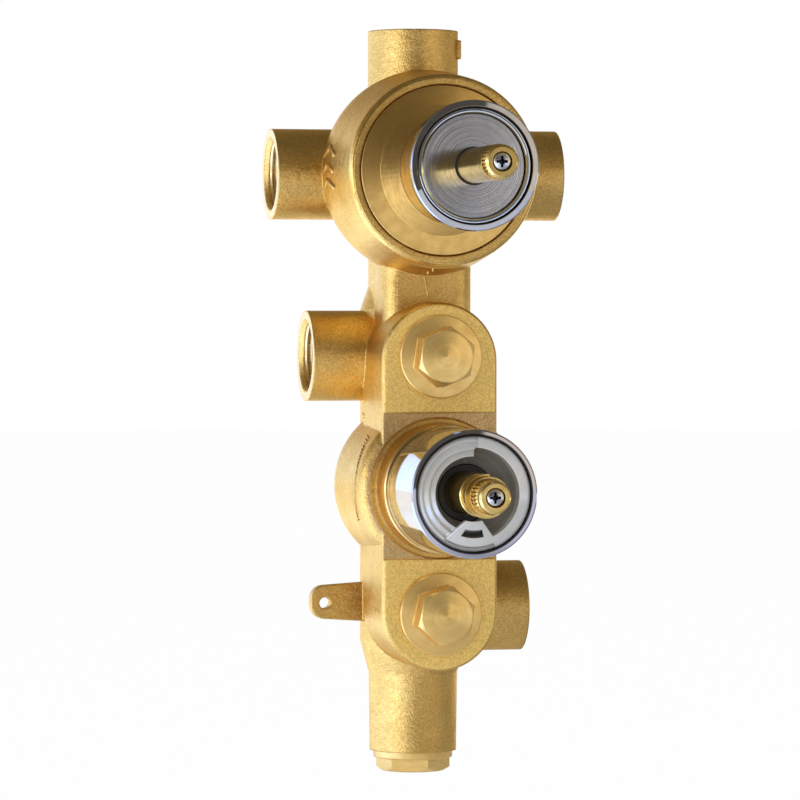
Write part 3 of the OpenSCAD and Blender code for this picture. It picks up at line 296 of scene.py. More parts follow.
# turned finishes: rings lie round the axis of the cartridge the piece belongs to
turnedFinishes = {
    # the plugs' bright colour and lower metal are partly their own brass and partly painted light on their faces
    "plugBrass": {"colour": (0.93, 0.64, 0.225), "second": (0.84, 0.55, 0.17), "rough": (0.18, 0.28),
                  "metal": 0.62, "ring": 0.45, "ringDepth": 0.005, "band": 1.5, "tone": (0.88, 1.07),
                  "edge": 0.5, "crown": 0.10},
    "bonnetBrass": {"colour": (0.80, 0.51, 0.155), "second": (0.70, 0.43, 0.115), "rough": (0.20, 0.28),
                    "ring": 0.5, "ringDepth": 0.012, "band": 1.6, "tone": (0.84, 1.06), "edge": 0.35, "crown": 0.13,
                    "lean": 2.2, "leanFrom": 52.5, "leanTo": 70.0,
                    # painted shadow: the first band darkens the line between the hub and the barrel
                    "bands": [((0.28, 0.21, 0.10), 0, 20.6, 69.7, 71.5), ((0.62, 0.49, 0.25), 0, 20.6, 71.5, 95.4),
                              # painted shade: this band darkens the bonnet where it shows through the gap by the
                              # plate
                              ((0.10, 0.09, 0.07), 0, 20.6, 95.4, 97.0)]},
    "nutBrass": {"colour": (0.82, 0.57, 0.24), "second": (0.72, 0.47, 0.17), "rough": (0.16, 0.28),
                 "ring": 0.5, "ringDepth": 0.01, "band": 1.6, "tone": (0.88, 1.06), "edge": 0.35,
                 # painted shade: the band makes the nut's dish dark grey and less metallic
                 "bands": [((0.30, 0.30, 0.29), 0, 16.45, 86.0, 94.0)], "bandMetal": 0.2},
    "stemBrass": {"colour": (0.80, 0.58, 0.215), "second": (0.66, 0.46, 0.14), "rough": (0.14, 0.24),
                  "ring": 0.3, "ringDepth": 0.003, "band": 1.2, "tone": (0.86, 1.05), "edge": 0.15},
    "innerBrass": {"colour": (0.70, 0.54, 0.26), "second": (0.60, 0.44, 0.20), "rough": (0.22, 0.34),
                   "ring": 0.3, "ringDepth": 0.008, "band": 1.2, "tone": (0.86, 1.05), "edge": 0.2},
    "brushedPlate": {"colour": (0.74, 0.78, 0.90), "second": (0.58, 0.62, 0.73), "rough": (0.07, 0.13),
                     "ring": 0.22, "ringDepth": 0.010, "band": 0.5, "tone": (0.72, 1.12), "edge": 0.2},
    # painted shade: the band blackens the inside of the screw's recess
    "diverterScrew": {"colour": (0.68, 0.68, 0.69), "second": (0.58, 0.58, 0.60), "rough": (0.08, 0.16), "crown": 0.3,
                      "ring": 0.2, "ringDepth": 0.003, "band": 0.8, "tone": (0.90, 1.04), "edge": 0.15,
                      "bands": [((0.03, 0.03, 0.035), 0, 2.3, 138.0, 139.95)]},
    # painted shade: the band blackens the inside of the screw's recess
    "mixerScrew": {"colour": (0.68, 0.68, 0.69), "second": (0.58, 0.58, 0.60), "rough": (0.08, 0.16), "crown": 0.3,
                   "ring": 0.2, "ringDepth": 0.003, "band": 0.8, "tone": (0.90, 1.04), "edge": 0.15,
                   "bands": [((0.03, 0.03, 0.035), 0, 2.3, 128.5, 130.45)]},
    "chrome": {"colour": (0.48, 0.475, 0.485), "second": (0.42, 0.42, 0.43), "rough": (0.012, 0.03),
               "ring": 0.9, "ringDepth": 0.0005, "band": 2.0, "tone": (0.94, 1.02), "edge": 0.12, "crown": 0.09,
               # painted shade: the band blackens the inner wall near the front
               "bands": [((0.05, 0.05, 0.06), 0, 21.0, 96.6, 100.35)]},
    # painted tint: the sleeve's warm colour offsets the cool light it mirrors
    "sleeveChrome": {"colour": (0.51, 0.43, 0.28), "second": (0.45, 0.38, 0.24), "rough": (0.03, 0.06),
                     "ring": 0.9, "ringDepth": 0.0005, "band": 2.0, "tone": (0.94, 1.02), "edge": 0.12, "crown": 0.09,
                     # painted shade: the first band blackens the inner wall near the front; the second keeps the rim
                     # plain chrome
                     "bands": [((0.05, 0.05, 0.06), 0, 21.0, 96.6, 100.35), ((0.48, 0.47, 0.50), 21.0, 24.0, 99.1, 101.0)]},
    "ringChrome": {"colour": (0.72, 0.80, 0.95), "second": (0.66, 0.74, 0.88), "rough": (0.02, 0.05),
                   "ring": 0.9, "ringDepth": 0.0005, "band": 2.0, "tone": (0.94, 1.02), "edge": 0.12},
    "springSteel": {"colour": (0.60, 0.61, 0.62), "second": (0.50, 0.51, 0.52), "rough": (0.20, 0.30),
                    "ring": 0.4, "ringDepth": 0.002, "band": 1.0, "tone": (0.92, 1.04), "edge": 0.1},
    "copper": {"colour": (0.72, 0.40, 0.25), "second": (0.62, 0.32, 0.19), "rough": (0.22, 0.34),
               "ring": 0.4, "ringDepth": 0.003, "band": 1.0, "tone": (0.92, 1.04), "edge": 0.1},
}
mouldedFinishes = {
    "greyPlastic": {"colour": (0.74, 0.75, 0.742), "second": (0.69, 0.70, 0.692), "rough": (0.10, 0.18),
                    "gloss": 2.6, "grain": 0.25, "grainDepth": 0.004, "edge": 0.9, "crown": 0.45,
                    # painted shade: dark fills the depth of the lug's slot
                    "dark": (0.055, 0.050, 0.040), "darkAcross": 5.0, "darkDrop": (177.2, 182.0), "darkFront": 98.4},
    "whitePlastic": {"colour": (0.80, 0.79, 0.76), "second": (0.76, 0.75, 0.72), "rough": (0.36, 0.46),
                     "grain": 0.25, "grainDepth": 0.004, "edge": 0.2},
    "blackPlastic": {"colour": (0.020, 0.020, 0.022), "second": (0.028, 0.027, 0.028), "rough": (0.36, 0.50),
                     "grain": 0.25, "grainDepth": 0.006, "edge": 0.2},
    "rubber": {"colour": (0.014, 0.014, 0.015), "second": (0.022, 0.021, 0.021), "rough": (0.48, 0.62),
               "grain": 0.18, "grainDepth": 0.008, "edge": 0.15},
    "ceramic": {"colour": (0.86, 0.84, 0.80), "second": (0.83, 0.81, 0.77), "rough": (0.14, 0.22),
                "grain": 0.2, "grainDepth": 0.001, "edge": 0.15},
}


goldEdge = (1.0, 0.86, 0.58)   # what brass mirrors at a grazing angle


def startMaterial(name, settings, metallic):
    material = bpy.data.materials.new(name)
    material.use_nodes = True
    tree = material.node_tree
    shader = tree.nodes["Principled BSDF"]
    shader.inputs["Metallic"].default_value = metallic
    if "rass" in name:
        shader.inputs["Specular Tint"].default_value = (*goldEdge, 1)
    place = tree.nodes.new("ShaderNodeTexCoord")
    return material, tree, shader, place.outputs["Object"]


def noise(tree, place, size, detail=3.0, stretch=None):
    node = tree.nodes.new("ShaderNodeTexNoise")
    node.inputs["Scale"].default_value = 1 / (size * mm)
    node.inputs["Detail"].default_value = detail
    tree.links.new(place, node.inputs["Vector"])
    return node.outputs["Fac"]


def twoColours(tree, value, first, second):
    node = tree.nodes.new("ShaderNodeValToRGB")
    node.color_ramp.elements[0].position = 0.35
    node.color_ramp.elements[0].color = (*first, 1)
    node.color_ramp.elements[1].position = 0.68
    node.color_ramp.elements[1].color = (*second, 1)
    tree.links.new(value, node.inputs[0])
    return node.outputs[0]


def softEdge(tree, radius):
    node = tree.nodes.new("ShaderNodeBevel")
    node.samples = 6
    node.inputs["Radius"].default_value = radius * mm
    return node.outputs[0]


def raised(tree, height, depth, normal):
    node = tree.nodes.new("ShaderNodeBump")
    node.inputs["Distance"].default_value = depth * mm
    tree.links.new(height, node.inputs["Height"])
    tree.links.new(normal, node.inputs["Normal"])
    return node.outputs[0]


def scaled(tree, colour, value):
    node = tree.nodes.new("ShaderNodeVectorMath")
    node.operation = "SCALE"
    tree.links.new(colour, node.inputs[0])
    tree.links.new(value, node.inputs["Scale"])
    return node.outputs[0]


def mixedValue(tree, share, first, second):
    node = tree.nodes.new("ShaderNodeMix")
    tree.links.new(share, node.inputs[0])
    tree.links.new(first, node.inputs[2])
    node.inputs[3].default_value = second
    return node.outputs[0]


def castAreas(tree, place):
    parts = tree.nodes.new("ShaderNodeSeparateXYZ")
    tree.links.new(place, parts.inputs[0])
    front = mathNode(tree, "MULTIPLY", parts.outputs["Y"], -1000)
    drop = mathNode(tree, "MULTIPLY", parts.outputs["Z"], -1000)
    reach = mathNode(tree, "ABSOLUTE", mathNode(tree, "MULTIPLY", parts.outputs["X"], 1000), 0)
    at = castPlaces
    pads = product(tree, softStep(tree, front, at["padFront"] - 0.1, at["padFront"]),
                   softStep(tree, drop, at["padTop"] - 2, at["padTop"] + 2))
    band = product(tree, softStep(tree, front, at["bandFront"] - 0.1, at["bandFront"]),
                   softStep(tree, front, at["padFront"], at["padFront"] - 0.1),
                   softStep(tree, drop, at["bandTop"] - 0.2, at["bandTop"] + 0.2),
                   softStep(tree, drop, at["bandLow"] + 0.2, at["bandLow"] - 0.2))
    ends = softStep(tree, reach, at["outletEnd"] - 0.1, at["outletEnd"])
    inletEnds = product(tree, softStep(tree, reach, at["inletEnd"] - 0.1, at["inletEnd"]),
                        softStep(tree, drop, at["inletTop"] - 1, at["inletTop"] + 1))
    away = mathNode(tree, "SUBTRACT", drop, levels["diverter"])
    away = mathNode(tree, "ADD", product(tree, away, away), product(tree, reach, reach))
    rim = product(tree, softStep(tree, away, at["rimRadius"] ** 2, (at["rimRadius"] + 0.2) ** 2),
                  softStep(tree, away, (at["rimRadius"] + 3) ** 2, (at["rimRadius"] + 2) ** 2),
                  softStep(tree, front, at["rimFront"] - 0.4, at["rimFront"]))
    return pads, band, mathNode(tree, "MAXIMUM", ends, inletEnds), rim


def castFinish(name, settings):
    material, tree, shader, place = startMaterial(name, settings, settings.get("metal", 1.0))
    patches = noise(tree, place, settings["wave"], 4)
    lumps = noise(tree, place, settings["lump"], 3)
    grain = noise(tree, place, settings["grain"], 2)
    colour = twoColours(tree, patches, settings["colour"], settings["second"])
    rough = spread(tree, lumps, *settings["rough"])
    shader.inputs["Coat Weight"].default_value = settings["coat"]
    shader.inputs["Coat Roughness"].default_value = 0.35
    speckle = spread(tree, grain, *settings["speckle"])
    if "padColour" in settings:
        pads, band, ends, rim = castAreas(tree, place)
        # the pads are lighter and less metallic: partly their ground finish, partly painted light
        colour = blended(tree, pads, colour, settings["padColour"])
        colour = blended(tree, band, colour, settings["bandColour"])
        colour = blended(tree, ends, colour, settings["endColour"])
        rough = mixedValue(tree, ends, mixedValue(tree, pads, rough, settings["padRough"]), settings["endRough"])
        rough = mixedValue(tree, rim, rough, settings["rimRough"])
        tree.links.new(spread(tree, pads, 1, settings["padMetal"], 0, 1), shader.inputs["Metallic"])
        worked = mathNode(tree, "MAXIMUM", ends, rim)
        lumps, grain = [product(tree, value, spread(tree, worked, 1, 0.25, 0, 1)) for value in (lumps, grain)]
    tree.links.new(scaled(tree, colour, speckle), shader.inputs["Base Color"])
    tree.links.new(rough, shader.inputs["Roughness"])
    normal = softEdge(tree, settings["edge"])
    for height, depth in ((patches, "waveDepth"), (lumps, "lumpDepth"), (grain, "grainDepth")):
        normal = raised(tree, height, settings[depth], normal)
    tree.links.new(normal, shader.inputs["Normal"])
    return material


def turnedFinish(name, settings, drop):
    metal = settings.get("metal", 1.0)
    material, tree, shader, place = startMaterial(name, settings, metal)
    shift = tree.nodes.new("ShaderNodeVectorMath")
    shift.operation = "ADD"
    shift.inputs[1].default_value = (0, 0, drop * mm)
    tree.links.new(place, shift.inputs[0])
    parts = tree.nodes.new("ShaderNodeSeparateXYZ")
    tree.links.new(shift.outputs[0], parts.inputs[0])
    across = tree.nodes.new("ShaderNodeCombineXYZ")
    tree.links.new(parts.outputs["X"], across.inputs["X"])
    tree.links.new(parts.outputs["Z"], across.inputs["Z"])
    reach = tree.nodes.new("ShaderNodeVectorMath")
    reach.operation = "LENGTH"
    tree.links.new(across.outputs[0], reach.inputs[0])
    lathe = tree.nodes.new("ShaderNodeCombineXYZ")   # distance from the axis and along it
    tree.links.new(reach.outputs["Value"], lathe.inputs["X"])
    tree.links.new(parts.outputs["Y"], lathe.inputs["Y"])
    rings = noise(tree, lathe.outputs[0], settings["ring"], 2)
    bands = noise(tree, lathe.outputs[0], settings["band"], 3)
    cloud = noise(tree, place, 4.0, 4)
    colour = twoColours(tree, cloud, settings["colour"], settings["second"])
    radius = mathNode(tree, "MULTIPLY", reach.outputs["Value"], 1000)
    front = mathNode(tree, "MULTIPLY", parts.outputs["Y"], -1000)
    # bands recolour the piece by radius and depth; most are painted shade in recesses and gaps
    for bandColour, inner, outer, low, high in settings.get("bands", []):
        inside = product(tree, softStep(tree, radius, outer, outer - 0.1), softStep(tree, radius, inner - 0.1, inner),
                         softStep(tree, front, low - 0.1, low), softStep(tree, front, high + 0.05, high - 0.05))
        colour = blended(tree, inside, colour, bandColour)
        if "bandMetal" in settings:
            tree.links.new(spread(tree, inside, metal, settings["bandMetal"], 0, 1), shader.inputs["Metallic"])
    tree.links.new(scaled(tree, colour, spread(tree, bands, *settings["tone"])), shader.inputs["Base Color"])
    tree.links.new(spread(tree, cloud, *settings["rough"]), shader.inputs["Roughness"])
    normal = softEdge(tree, settings["edge"])
    if "crown" in settings:    # faces across the axis fall away a little towards their rims
        fall = mathNode(tree, "MULTIPLY", reach.outputs["Value"], -settings["crown"])
        if "lean" in settings:     # and the hub's side leans as its face does
            away = (settings["leanTo"] - settings["leanFrom"]) * mm * settings["lean"]
            leaning = spread(tree, parts.outputs["Y"], -away, 0, -settings["leanTo"] * mm, -settings["leanFrom"] * mm)
            fall = mathNode(tree, "ADD", fall, leaning)
        normal = raised(tree, fall, 1 / mm, normal)
    tree.links.new(raised(tree, rings, settings["ringDepth"], normal), shader.inputs["Normal"])
    return material


def mouldedFinish(name, settings):
    material, tree, shader, place = startMaterial(name, settings, 0.0)
    cloud = noise(tree, place, 3.0, 4)
    colour = twoColours(tree, cloud, settings["colour"], settings["second"])
    if "gloss" in settings:
        shader.inputs["IOR"].default_value = settings["gloss"]
    normal = softEdge(tree, settings["edge"])
    if "dark" in settings:     # painted shade in the depth of the lug's slot
        parts = tree.nodes.new("ShaderNodeSeparateXYZ")
        tree.links.new(place, parts.inputs[0])
        front = mathNode(tree, "MULTIPLY", parts.outputs["Y"], -1000)
        drop = mathNode(tree, "MULTIPLY", parts.outputs["Z"], -1000)
        across = mathNode(tree, "ABSOLUTE", mathNode(tree, "MULTIPLY", parts.outputs["X"], 1000), 0)
        low, high = settings["darkDrop"]
        inside = product(tree, softStep(tree, across, settings["darkAcross"] + 0.1, settings["darkAcross"]),
                         softStep(tree, drop, low - 0.1, low), softStep(tree, drop, high + 0.1, high),
                         softStep(tree, front, settings["darkFront"] + 0.2, settings["darkFront"]))
        colour = blended(tree, inside, colour, settings["dark"])
        away = mathNode(tree, "SUBTRACT", drop, levels["mixer"])
        away = mathNode(tree, "SQRT", mathNode(tree, "ADD", product(tree, away, away), product(tree, across, across)), 0)
        normal = raised(tree, mathNode(tree, "MULTIPLY", away, -settings["crown"]), 1, normal)
    tree.links.new(colour, shader.inputs["Base Color"])
    tree.links.new(spread(tree, cloud, *settings["rough"]), shader.inputs["Roughness"])
    grain = noise(tree, place, settings["grain"], 2)
    tree.links.new(raised(tree, grain, settings["grainDepth"], normal), shader.inputs["Normal"])
    return material


slotFinish = {
    "cast_brass": "castBrass", "plug_brass": "plugBrass", "bonnet_brass": "bonnetBrass", "stem_brass": "stemBrass",
    "inner_brass": "innerBrass", "chrome": "chrome", "brushed_plate": "brushedPlate", "screw_steel": "diverterScrew",
    "spring_steel": "springSteel", "grey_plastic": "greyPlastic", "black_plastic": "blackPlastic",
    "white_plastic": "whitePlastic", "ceramic": "ceramic", "rubber": "rubber", "copper": "copper",
}
nodeFinish = {"cartridge_nut": "nutBrass", "temperature_screw": "mixerScrew", "retaining_ring": "ringChrome",
              "trim_sleeve": "sleeveChrome",
              "extension_clip": "stemBrass"}
made = {}


def finishFor(slot, node):
    finish = nodeFinish.get(node, slotFinish[slot])
    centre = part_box(node)[0].lerp(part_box(node)[1], 0.5).z / -mm
    level = min(("diverter", "hot", "mixer", "cold"), key=lambda n: abs(levels[n] - centre))
    key = finish if finish not in turnedFinishes else finish + level.capitalize()
    if key not in made:
        if finish in castFinishes:
            made[key] = castFinish(key, castFinishes[finish])
        elif finish in turnedFinishes:
            made[key] = turnedFinish(key, turnedFinishes[finish], levels[level])
        else:
            made[key] = mouldedFinish(key, mouldedFinishes[finish])
    return made[key]


for part in frame["record"]["subparts"]:
    obj = nodes[part["node"]]
    obj.data.materials.clear()
    obj.data.materials.append(finishFor(part["material_slot"], part["node"]))
print("finishes done:", len(made))


def pick(obj, test):
    bpy.ops.object.select_all(action="DESELECT")
    obj.select_set(True)
    bpy.context.view_layer.objects.active = obj
    bpy.ops.object.mode_set(mode="EDIT")
    bpy.ops.mesh.select_mode(type="VERT")
    bpy.ops.mesh.select_all(action="DESELECT")
    bpy.ops.object.mode_set(mode="OBJECT")
    for vertex in obj.data.vertices:
        vertex.select = test(vertex.co)
    bpy.ops.object.mode_set(mode="EDIT")


def finishPiece(obj, name, material, body="body"):
    bpy.ops.object.select_all(action="DESELECT")
    obj.select_set(True)
    bpy.context.view_layer.objects.active = obj
    bpy.ops.object.transform_apply(location=True, rotation=True, scale=True)
    obj.name = name
    obj.data.materials.clear()
    obj.data.materials.append(material)
    if body:
        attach(obj, body)


# mm: the thread's pitch, wall and depth, where its first turn starts behind the mouth, and its turns
threadSettings = {"pitch": 1.814, "wall": 12.05, "depth": 0.74, "crest": 0.12, "start": 2.4, "turns": 8,
                  "steps": 48}
# each socket's mouth and its turn about Y from the top outlet's
threadMouths = {
    "topOutletThread": ((0, 0, 0), 0),
    "leftOutletThread": ((-53.5, 0, -51.4), -90),
    "rightOutletThread": ((53.5, 0, -51.4), 90),
    "hotInletThread": ((-40.4, 0, -118.0), -90),
    "coldInletThread": ((40.4, 0, -210.7), 90),
}


def modelThread():
    at = threadSettings
    bpy.ops.mesh.primitive_circle_add(vertices=4, radius=at["depth"] * mm, rotation=(math.radians(90), 0, 0),
                                      location=((at["wall"] + 0.04) * mm, 0, -at["start"] * mm))
    thread = bpy.context.object
    bpy.ops.object.transform_apply(location=True, rotation=True, scale=True)
    pick(thread, lambda co: co.x < (at["wall"] - at["depth"] / 2) * mm)
    bpy.ops.mesh.bevel(offset=at["crest"] * mm, affect="VERTICES", segments=1)
    bpy.ops.object.mode_set(mode="OBJECT")
    bpy.ops.object.modifier_add(type="SCREW")
    turns = thread.modifiers[-1]
    turns.screw_offset = -at["pitch"] * mm
    turns.iterations = at["turns"]
    turns.steps = turns.render_steps = at["steps"]
    bpy.ops.object.modifier_apply(modifier=turns.name)
    bpy.ops.object.mode_set(mode="EDIT")
    bpy.ops.mesh.select_all(action="SELECT")
    bpy.ops.mesh.fill_holes(sides=0)
    bpy.ops.mesh.select_all(action="SELECT")
    bpy.ops.mesh.normals_make_consistent(inside=False)
    bpy.ops.object.mode_set(mode="OBJECT")
    bpy.ops.object.shade_smooth_by_angle(angle=math.radians(40))
    return thread


def buildThreads():
    first = modelThread()
    threads = [first]
    for _ in range(len(threadMouths) - 1):
        bpy.ops.object.select_all(action="DESELECT")
        first.select_set(True)
        bpy.context.view_layer.objects.active = first
        bpy.ops.object.duplicate()
        threads.append(bpy.context.object)
    for thread, (name, (mouth, turn)) in zip(threads, threadMouths.items()):
        thread.location = [value * mm for value in mouth]
        thread.rotation_euler = (0, math.radians(turn), 0)
        finishPiece(thread, name, made["innerBrassDiverter"])


buildThreads()
print("threads done:", len(threadMouths))

# mm: round of the head's rim, shank, and the cross with its small star between the wings
screwSettings = {"round": 0.8, "shank": 1.7, "head": 2.45, "wing": 1.15, "reach": 4.7, "deep": 1.5, "taper": 0.6,
                 "starWing": 0.45, "starReach": 3.6, "starDeep": 0.7}
screwPlaces = {
    "diverterHeadScrew": ("diverter_screw", "diverter_stem", "diverterScrewDiverter"),
    "mixerHeadScrew": ("temperature_screw", "temperature_stem", "mixerScrewMixer"),
}


def cutRecess(screw, middle, front, width, reach, deep, angle):
    at = screwSettings
    bpy.ops.mesh.primitive_cube_add(size=1, location=(middle.x, -(front - deep / 2 + 0.5) * mm, middle.z),
                                    rotation=(0, math.radians(angle), 0),
                                    scale=(reach * mm, (deep + 1) * mm, width * mm))
    cutter = bpy.context.object
    bpy.ops.object.transform_apply(location=True, rotation=True, scale=True)
    pick(cutter, lambda co: -co.y < (front - deep + 0.1) * mm)
    bpy.ops.transform.resize(value=(at["taper"], 1, at["taper"]), center_override=middle)
    bpy.ops.object.mode_set(mode="OBJECT")
    bpy.ops.object.select_all(action="DESELECT")
    screw.select_set(True)
    bpy.context.view_layer.objects.active = screw
    bpy.ops.object.modifier_add(type="BOOLEAN")
    cut = screw.modifiers[-1]
    cut.operation = "DIFFERENCE"
    cut.solver = "EXACT"
    cut.object = cutter
    bpy.ops.object.modifier_apply(modifier=cut.name)
    bpy.data.objects.remove(cutter)


def modelScrew(name, node, body, finish):
    at = screwSettings
    low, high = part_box(node)
    middle = (low + high) / 2
    front = -low.y / mm
    radius = (high.x - low.x) / 2
    bpy.ops.mesh.primitive_cylinder_add(vertices=48, radius=radius, depth=at["head"] * mm,
                                        location=(middle.x, -(front - at["head"] / 2) * mm, middle.z),
                                        rotation=(math.radians(90), 0, 0))
    screw = bpy.context.object
    bpy.ops.object.transform_apply(location=True, rotation=True, scale=True)
    pick(screw, lambda co: -co.y > (front - 0.1) * mm)
    bpy.ops.mesh.bevel(offset=at["round"] * mm, segments=6, affect="EDGES")
    bpy.ops.object.mode_set(mode="OBJECT")
    pick(screw, lambda co: -co.y < (front - at["head"] + 0.1) * mm)
    bpy.ops.mesh.select_mode(type="FACE")
    bpy.ops.mesh.inset(thickness=radius - at["shank"] * mm)
    bpy.ops.mesh.extrude_region_move(TRANSFORM_OT_translate={"value": (0, high.y + (front - at["head"]) * mm, 0)})
    bpy.ops.object.mode_set(mode="OBJECT")
    for angle in (0, 90):
        cutRecess(screw, middle, front, at["wing"], at["reach"], at["deep"], angle)
    for angle in (45, 135):
        cutRecess(screw, middle, front, at["starWing"], at["starReach"], at["starDeep"], angle)
    bpy.ops.object.shade_smooth_by_angle(angle=math.radians(32))
    finishPiece(screw, name, made[finish], body)
    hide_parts(node)


for name, (node, body, finish) in screwPlaces.items():
    modelScrew(name, node, body, finish)
print("screws done:", len(screwPlaces))

# mm: half width and half length of one bump of a parting line, and the lines' rows as drop and side from, to
partingSettings = {"wide": 0.30, "long": 1.05, "foot": 1.3, "proud": 0.10}
partingLines = {
    "neckPartingLine": {"drops": (86.5, 96.5), "sides": (-2.4, -0.4), "bumps": 11, "from": (0, -1, 0)},
    "bossPartingLine": {"drops": (147.5, 176.0), "sides": (-25.5, -28.5), "bumps": 25, "from": (-0.75, -1, 0)},
}


def joinPieces(pieces):
    bpy.ops.object.select_all(action="DESELECT")
    for piece in pieces:
        piece.select_set(True)
    bpy.context.view_layer.objects.active = pieces[0]
    bpy.ops.object.join()
    return bpy.context.object


def modelBump():
    at = partingSettings
    bpy.ops.mesh.primitive_uv_sphere_add(segments=12, ring_count=8, radius=at["wide"] * mm)
    bump = bpy.context.object
    pick(bump, lambda co: True)
    bpy.ops.transform.resize(value=(1, 1, at["long"] / at["wide"]))
    bpy.ops.object.mode_set(mode="OBJECT")
    pick(bump, lambda co: co.y > -0.1 * mm)
    bpy.ops.transform.resize(value=(at["foot"], 1, at["foot"]), center_override=(0, 0, 0))
    bpy.ops.object.mode_set(mode="OBJECT")
    bpy.ops.object.shade_smooth()
    return bump


def copyOf(obj):
    bpy.ops.object.select_all(action="DESELECT")
    obj.select_set(True)
    bpy.context.view_layer.objects.active = obj
    bpy.ops.object.duplicate()
    return bpy.context.object


def buildPartingLine(name, line):
    at = partingSettings
    casting = nodes["valve_body"]
    first = modelBump()
    bumps = []
    for step in range(line["bumps"]):
        share = step / (line["bumps"] - 1)
        drop = line["drops"][0] + (line["drops"][1] - line["drops"][0]) * share
        side = line["sides"][0] + (line["sides"][1] - line["sides"][0]) * share
        outward = Vector(line["from"]).normalized()
        start = Vector((side * mm, -0.035, -drop * mm)) + outward * 0.05
        _, place, normal, _ = casting.ray_cast(start, -outward)
        bump = copyOf(first)
        size = 1 + 0.25 * math.sin(step * 2.4)
        bump.scale = (size, size, 1)
        bump.location = place - normal * at["proud"] * mm
        bumps.append(bump)
        bpy.ops.object.transform_apply(location=True, rotation=True, scale=True)
    bpy.data.objects.remove(first)
    finishPiece(joinPieces(bumps), name, made["castBrass"])


for name, line in partingLines.items():
    buildPartingLine(name, line)
print("parting lines done:", len(partingLines))

# mm: raised chevrons on the drum's left, small raised bar on the top outlet and the runner's stub by the inlet
markSettings = {"chevron": (-37.25, -26.5, -51.4), "chevronSize": (1.9, 13.0, 1.7), "rise": 3.2,
                "lean": (0.2, 0.95), "turn": 9.3, "round": 0.3,
                "plate": (15.6, -6.8, -5.4), "plateSize": (2.0, 2.0, 7.0), "plateTurn": 23.5,
                "stub": (-20.9, -11.5, -139.8), "stubSize": (1.1, 1.5, 1.2), "broken": 0.6}


def roundEdges(obj, width):
    bpy.ops.object.select_all(action="DESELECT")
    obj.select_set(True)
    bpy.context.view_layer.objects.active = obj
    bpy.ops.object.transform_apply(location=True, rotation=True, scale=True)
    bpy.ops.object.modifier_add(type="BEVEL")
    rounding = obj.modifiers[-1]
    rounding.width = width * mm
    rounding.segments = 3
    bpy.ops.object.modifier_apply(modifier=rounding.name)
    bpy.ops.object.shade_smooth_by_angle(angle=math.radians(40))


def modelChevron():
    at = markSettings
    place = Vector(at["chevron"]) * mm
    bpy.ops.mesh.primitive_cube_add(size=1, location=place, scale=[size * mm for size in at["chevronSize"]])
    chevron = bpy.context.object
    bpy.ops.object.transform_apply(location=True, rotation=True, scale=True)
    pick(chevron, lambda co: True)
    bpy.ops.mesh.subdivide(number_cuts=1)
    bpy.ops.object.mode_set(mode="OBJECT")
    middle, front = at["lean"]
    for test, shift in ((lambda co: abs(co.y - place.y) < mm, (middle * mm, 0, at["rise"] * mm)),
                        (lambda co: co.y < place.y - mm, (front * mm, 0, 0))):
        pick(chevron, test)
        bpy.ops.transform.translate(value=shift)
        bpy.ops.object.mode_set(mode="OBJECT")
    roundEdges(chevron, at["round"])
    return chevron


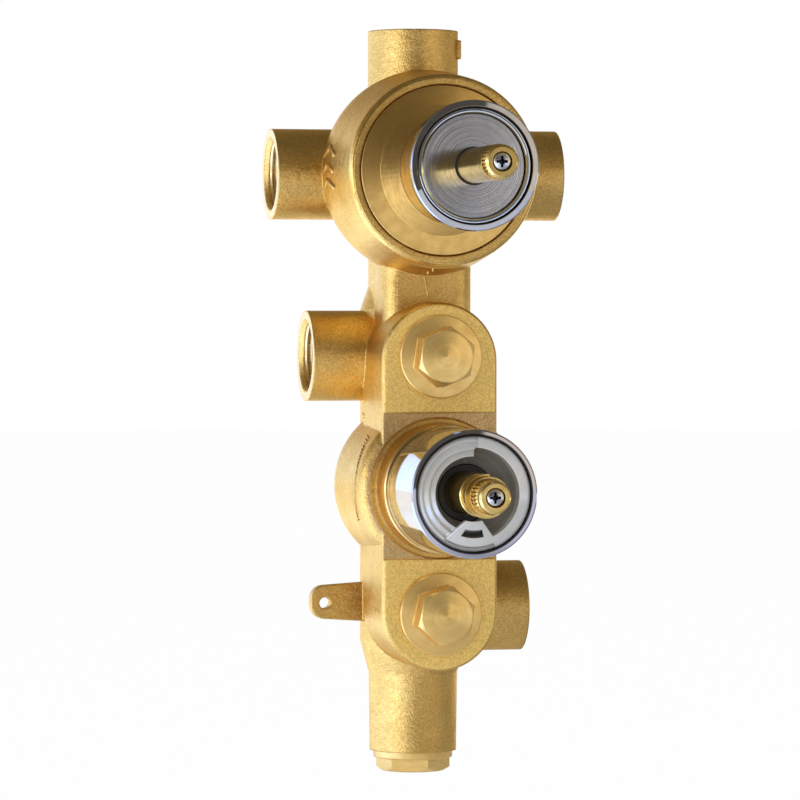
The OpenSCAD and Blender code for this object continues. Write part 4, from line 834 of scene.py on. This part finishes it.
def buildMarks():
    at = markSettings
    first = modelChevron()
    chevrons = [first, copyOf(first), copyOf(first)]
    for chevron, turn in zip(chevrons[1:], (-at["turn"], at["turn"])):
        bpy.ops.object.select_all(action="DESELECT")
        chevron.select_set(True)
        bpy.context.view_layer.objects.active = chevron
        bpy.ops.transform.rotate(value=math.radians(turn), orient_axis="Y",
                                 center_override=(0, 0, -levels["diverter"] * mm))
    finishPiece(joinPieces(chevrons), "flowChevrons", made["castBrass"])
    bpy.ops.mesh.primitive_cube_add(size=1, location=Vector(at["plate"]) * mm,
                                    rotation=(0, 0, -math.radians(at["plateTurn"])),
                                    scale=[size * mm for size in at["plateSize"]])
    plate = bpy.context.object
    roundEdges(plate, at["round"])
    finishPiece(plate, "outletBar", made["castBrass"])
    place = Vector(at["stub"]) * mm
    bpy.ops.mesh.primitive_ico_sphere_add(subdivisions=3, radius=1, location=place,
                                          scale=[size * mm for size in at["stubSize"]])
    stub = bpy.context.object
    bpy.ops.object.transform_apply(location=True, rotation=True, scale=True)
    pick(stub, lambda co: co.x < place.x - at["broken"] * mm)     # the face where the runner broke off
    bpy.ops.transform.resize(value=(0.1, 1.1, 1.1), center_override=place - Vector((at["broken"] * mm, 0, 0)))
    bpy.ops.object.mode_set(mode="OBJECT")
    bpy.ops.object.shade_smooth_by_angle(angle=math.radians(40))
    finishPiece(stub, "runnerStub", made["castBrass"])


buildMarks()
print("marks done")

# mm: each coil's wire, its turns, and the body it rides on
springSettings = {
    "hotCheckSpring": ("hot_check_spring", 0.4, 4, "body", "springSteelHot"),
    "coldCheckSpring": ("cold_check_spring", 0.4, 4, "body", "springSteelCold"),
    "returnSpring": ("return_spring", 0.8, 6, None, "springSteelMixer"),
    "overloadSpring": ("overload_spring", 0.7, 5, "regulator", "springSteelMixer"),
}


def modelSpring(name, node, wire, turns, body, finish):
    low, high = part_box(node)
    wire *= mm
    bpy.ops.mesh.primitive_circle_add(vertices=12, radius=wire,
                                      location=((high.x - low.x) / 2 - wire, low.y + wire, 0))
    spring = bpy.context.object
    bpy.ops.object.transform_apply(location=True, rotation=True, scale=True)
    bpy.ops.object.modifier_add(type="SCREW")
    coil = spring.modifiers[-1]
    coil.axis = "Y"
    coil.screw_offset = (high.y - low.y - 2 * wire) / turns
    coil.iterations = turns
    coil.steps = coil.render_steps = 36
    bpy.ops.object.modifier_apply(modifier=coil.name)
    bpy.ops.object.mode_set(mode="EDIT")
    bpy.ops.mesh.select_all(action="SELECT")
    bpy.ops.mesh.fill_holes(sides=0)
    bpy.ops.mesh.select_all(action="SELECT")
    bpy.ops.mesh.normals_make_consistent(inside=False)
    bpy.ops.object.mode_set(mode="OBJECT")
    bpy.ops.object.shade_smooth_by_angle(angle=math.radians(50))
    spring.location.z = (low.z + high.z) / 2
    finishPiece(spring, name, made[finish], body)
    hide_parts(node)
    return spring, low, high


def buildSprings():
    for name, (node, wire, turns, body, finish) in springSettings.items():
        spring, low, high = modelSpring(name, node, wire, turns, body, finish)
        if "Check" in name:        # a check spring, which the opening valve presses together, gets a mesh of its own
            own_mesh(spring)
        elif body is None:         # one end in the valve, the other on the wax element
            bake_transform(spring)


buildSprings()
print("springs done:", len(springSettings))
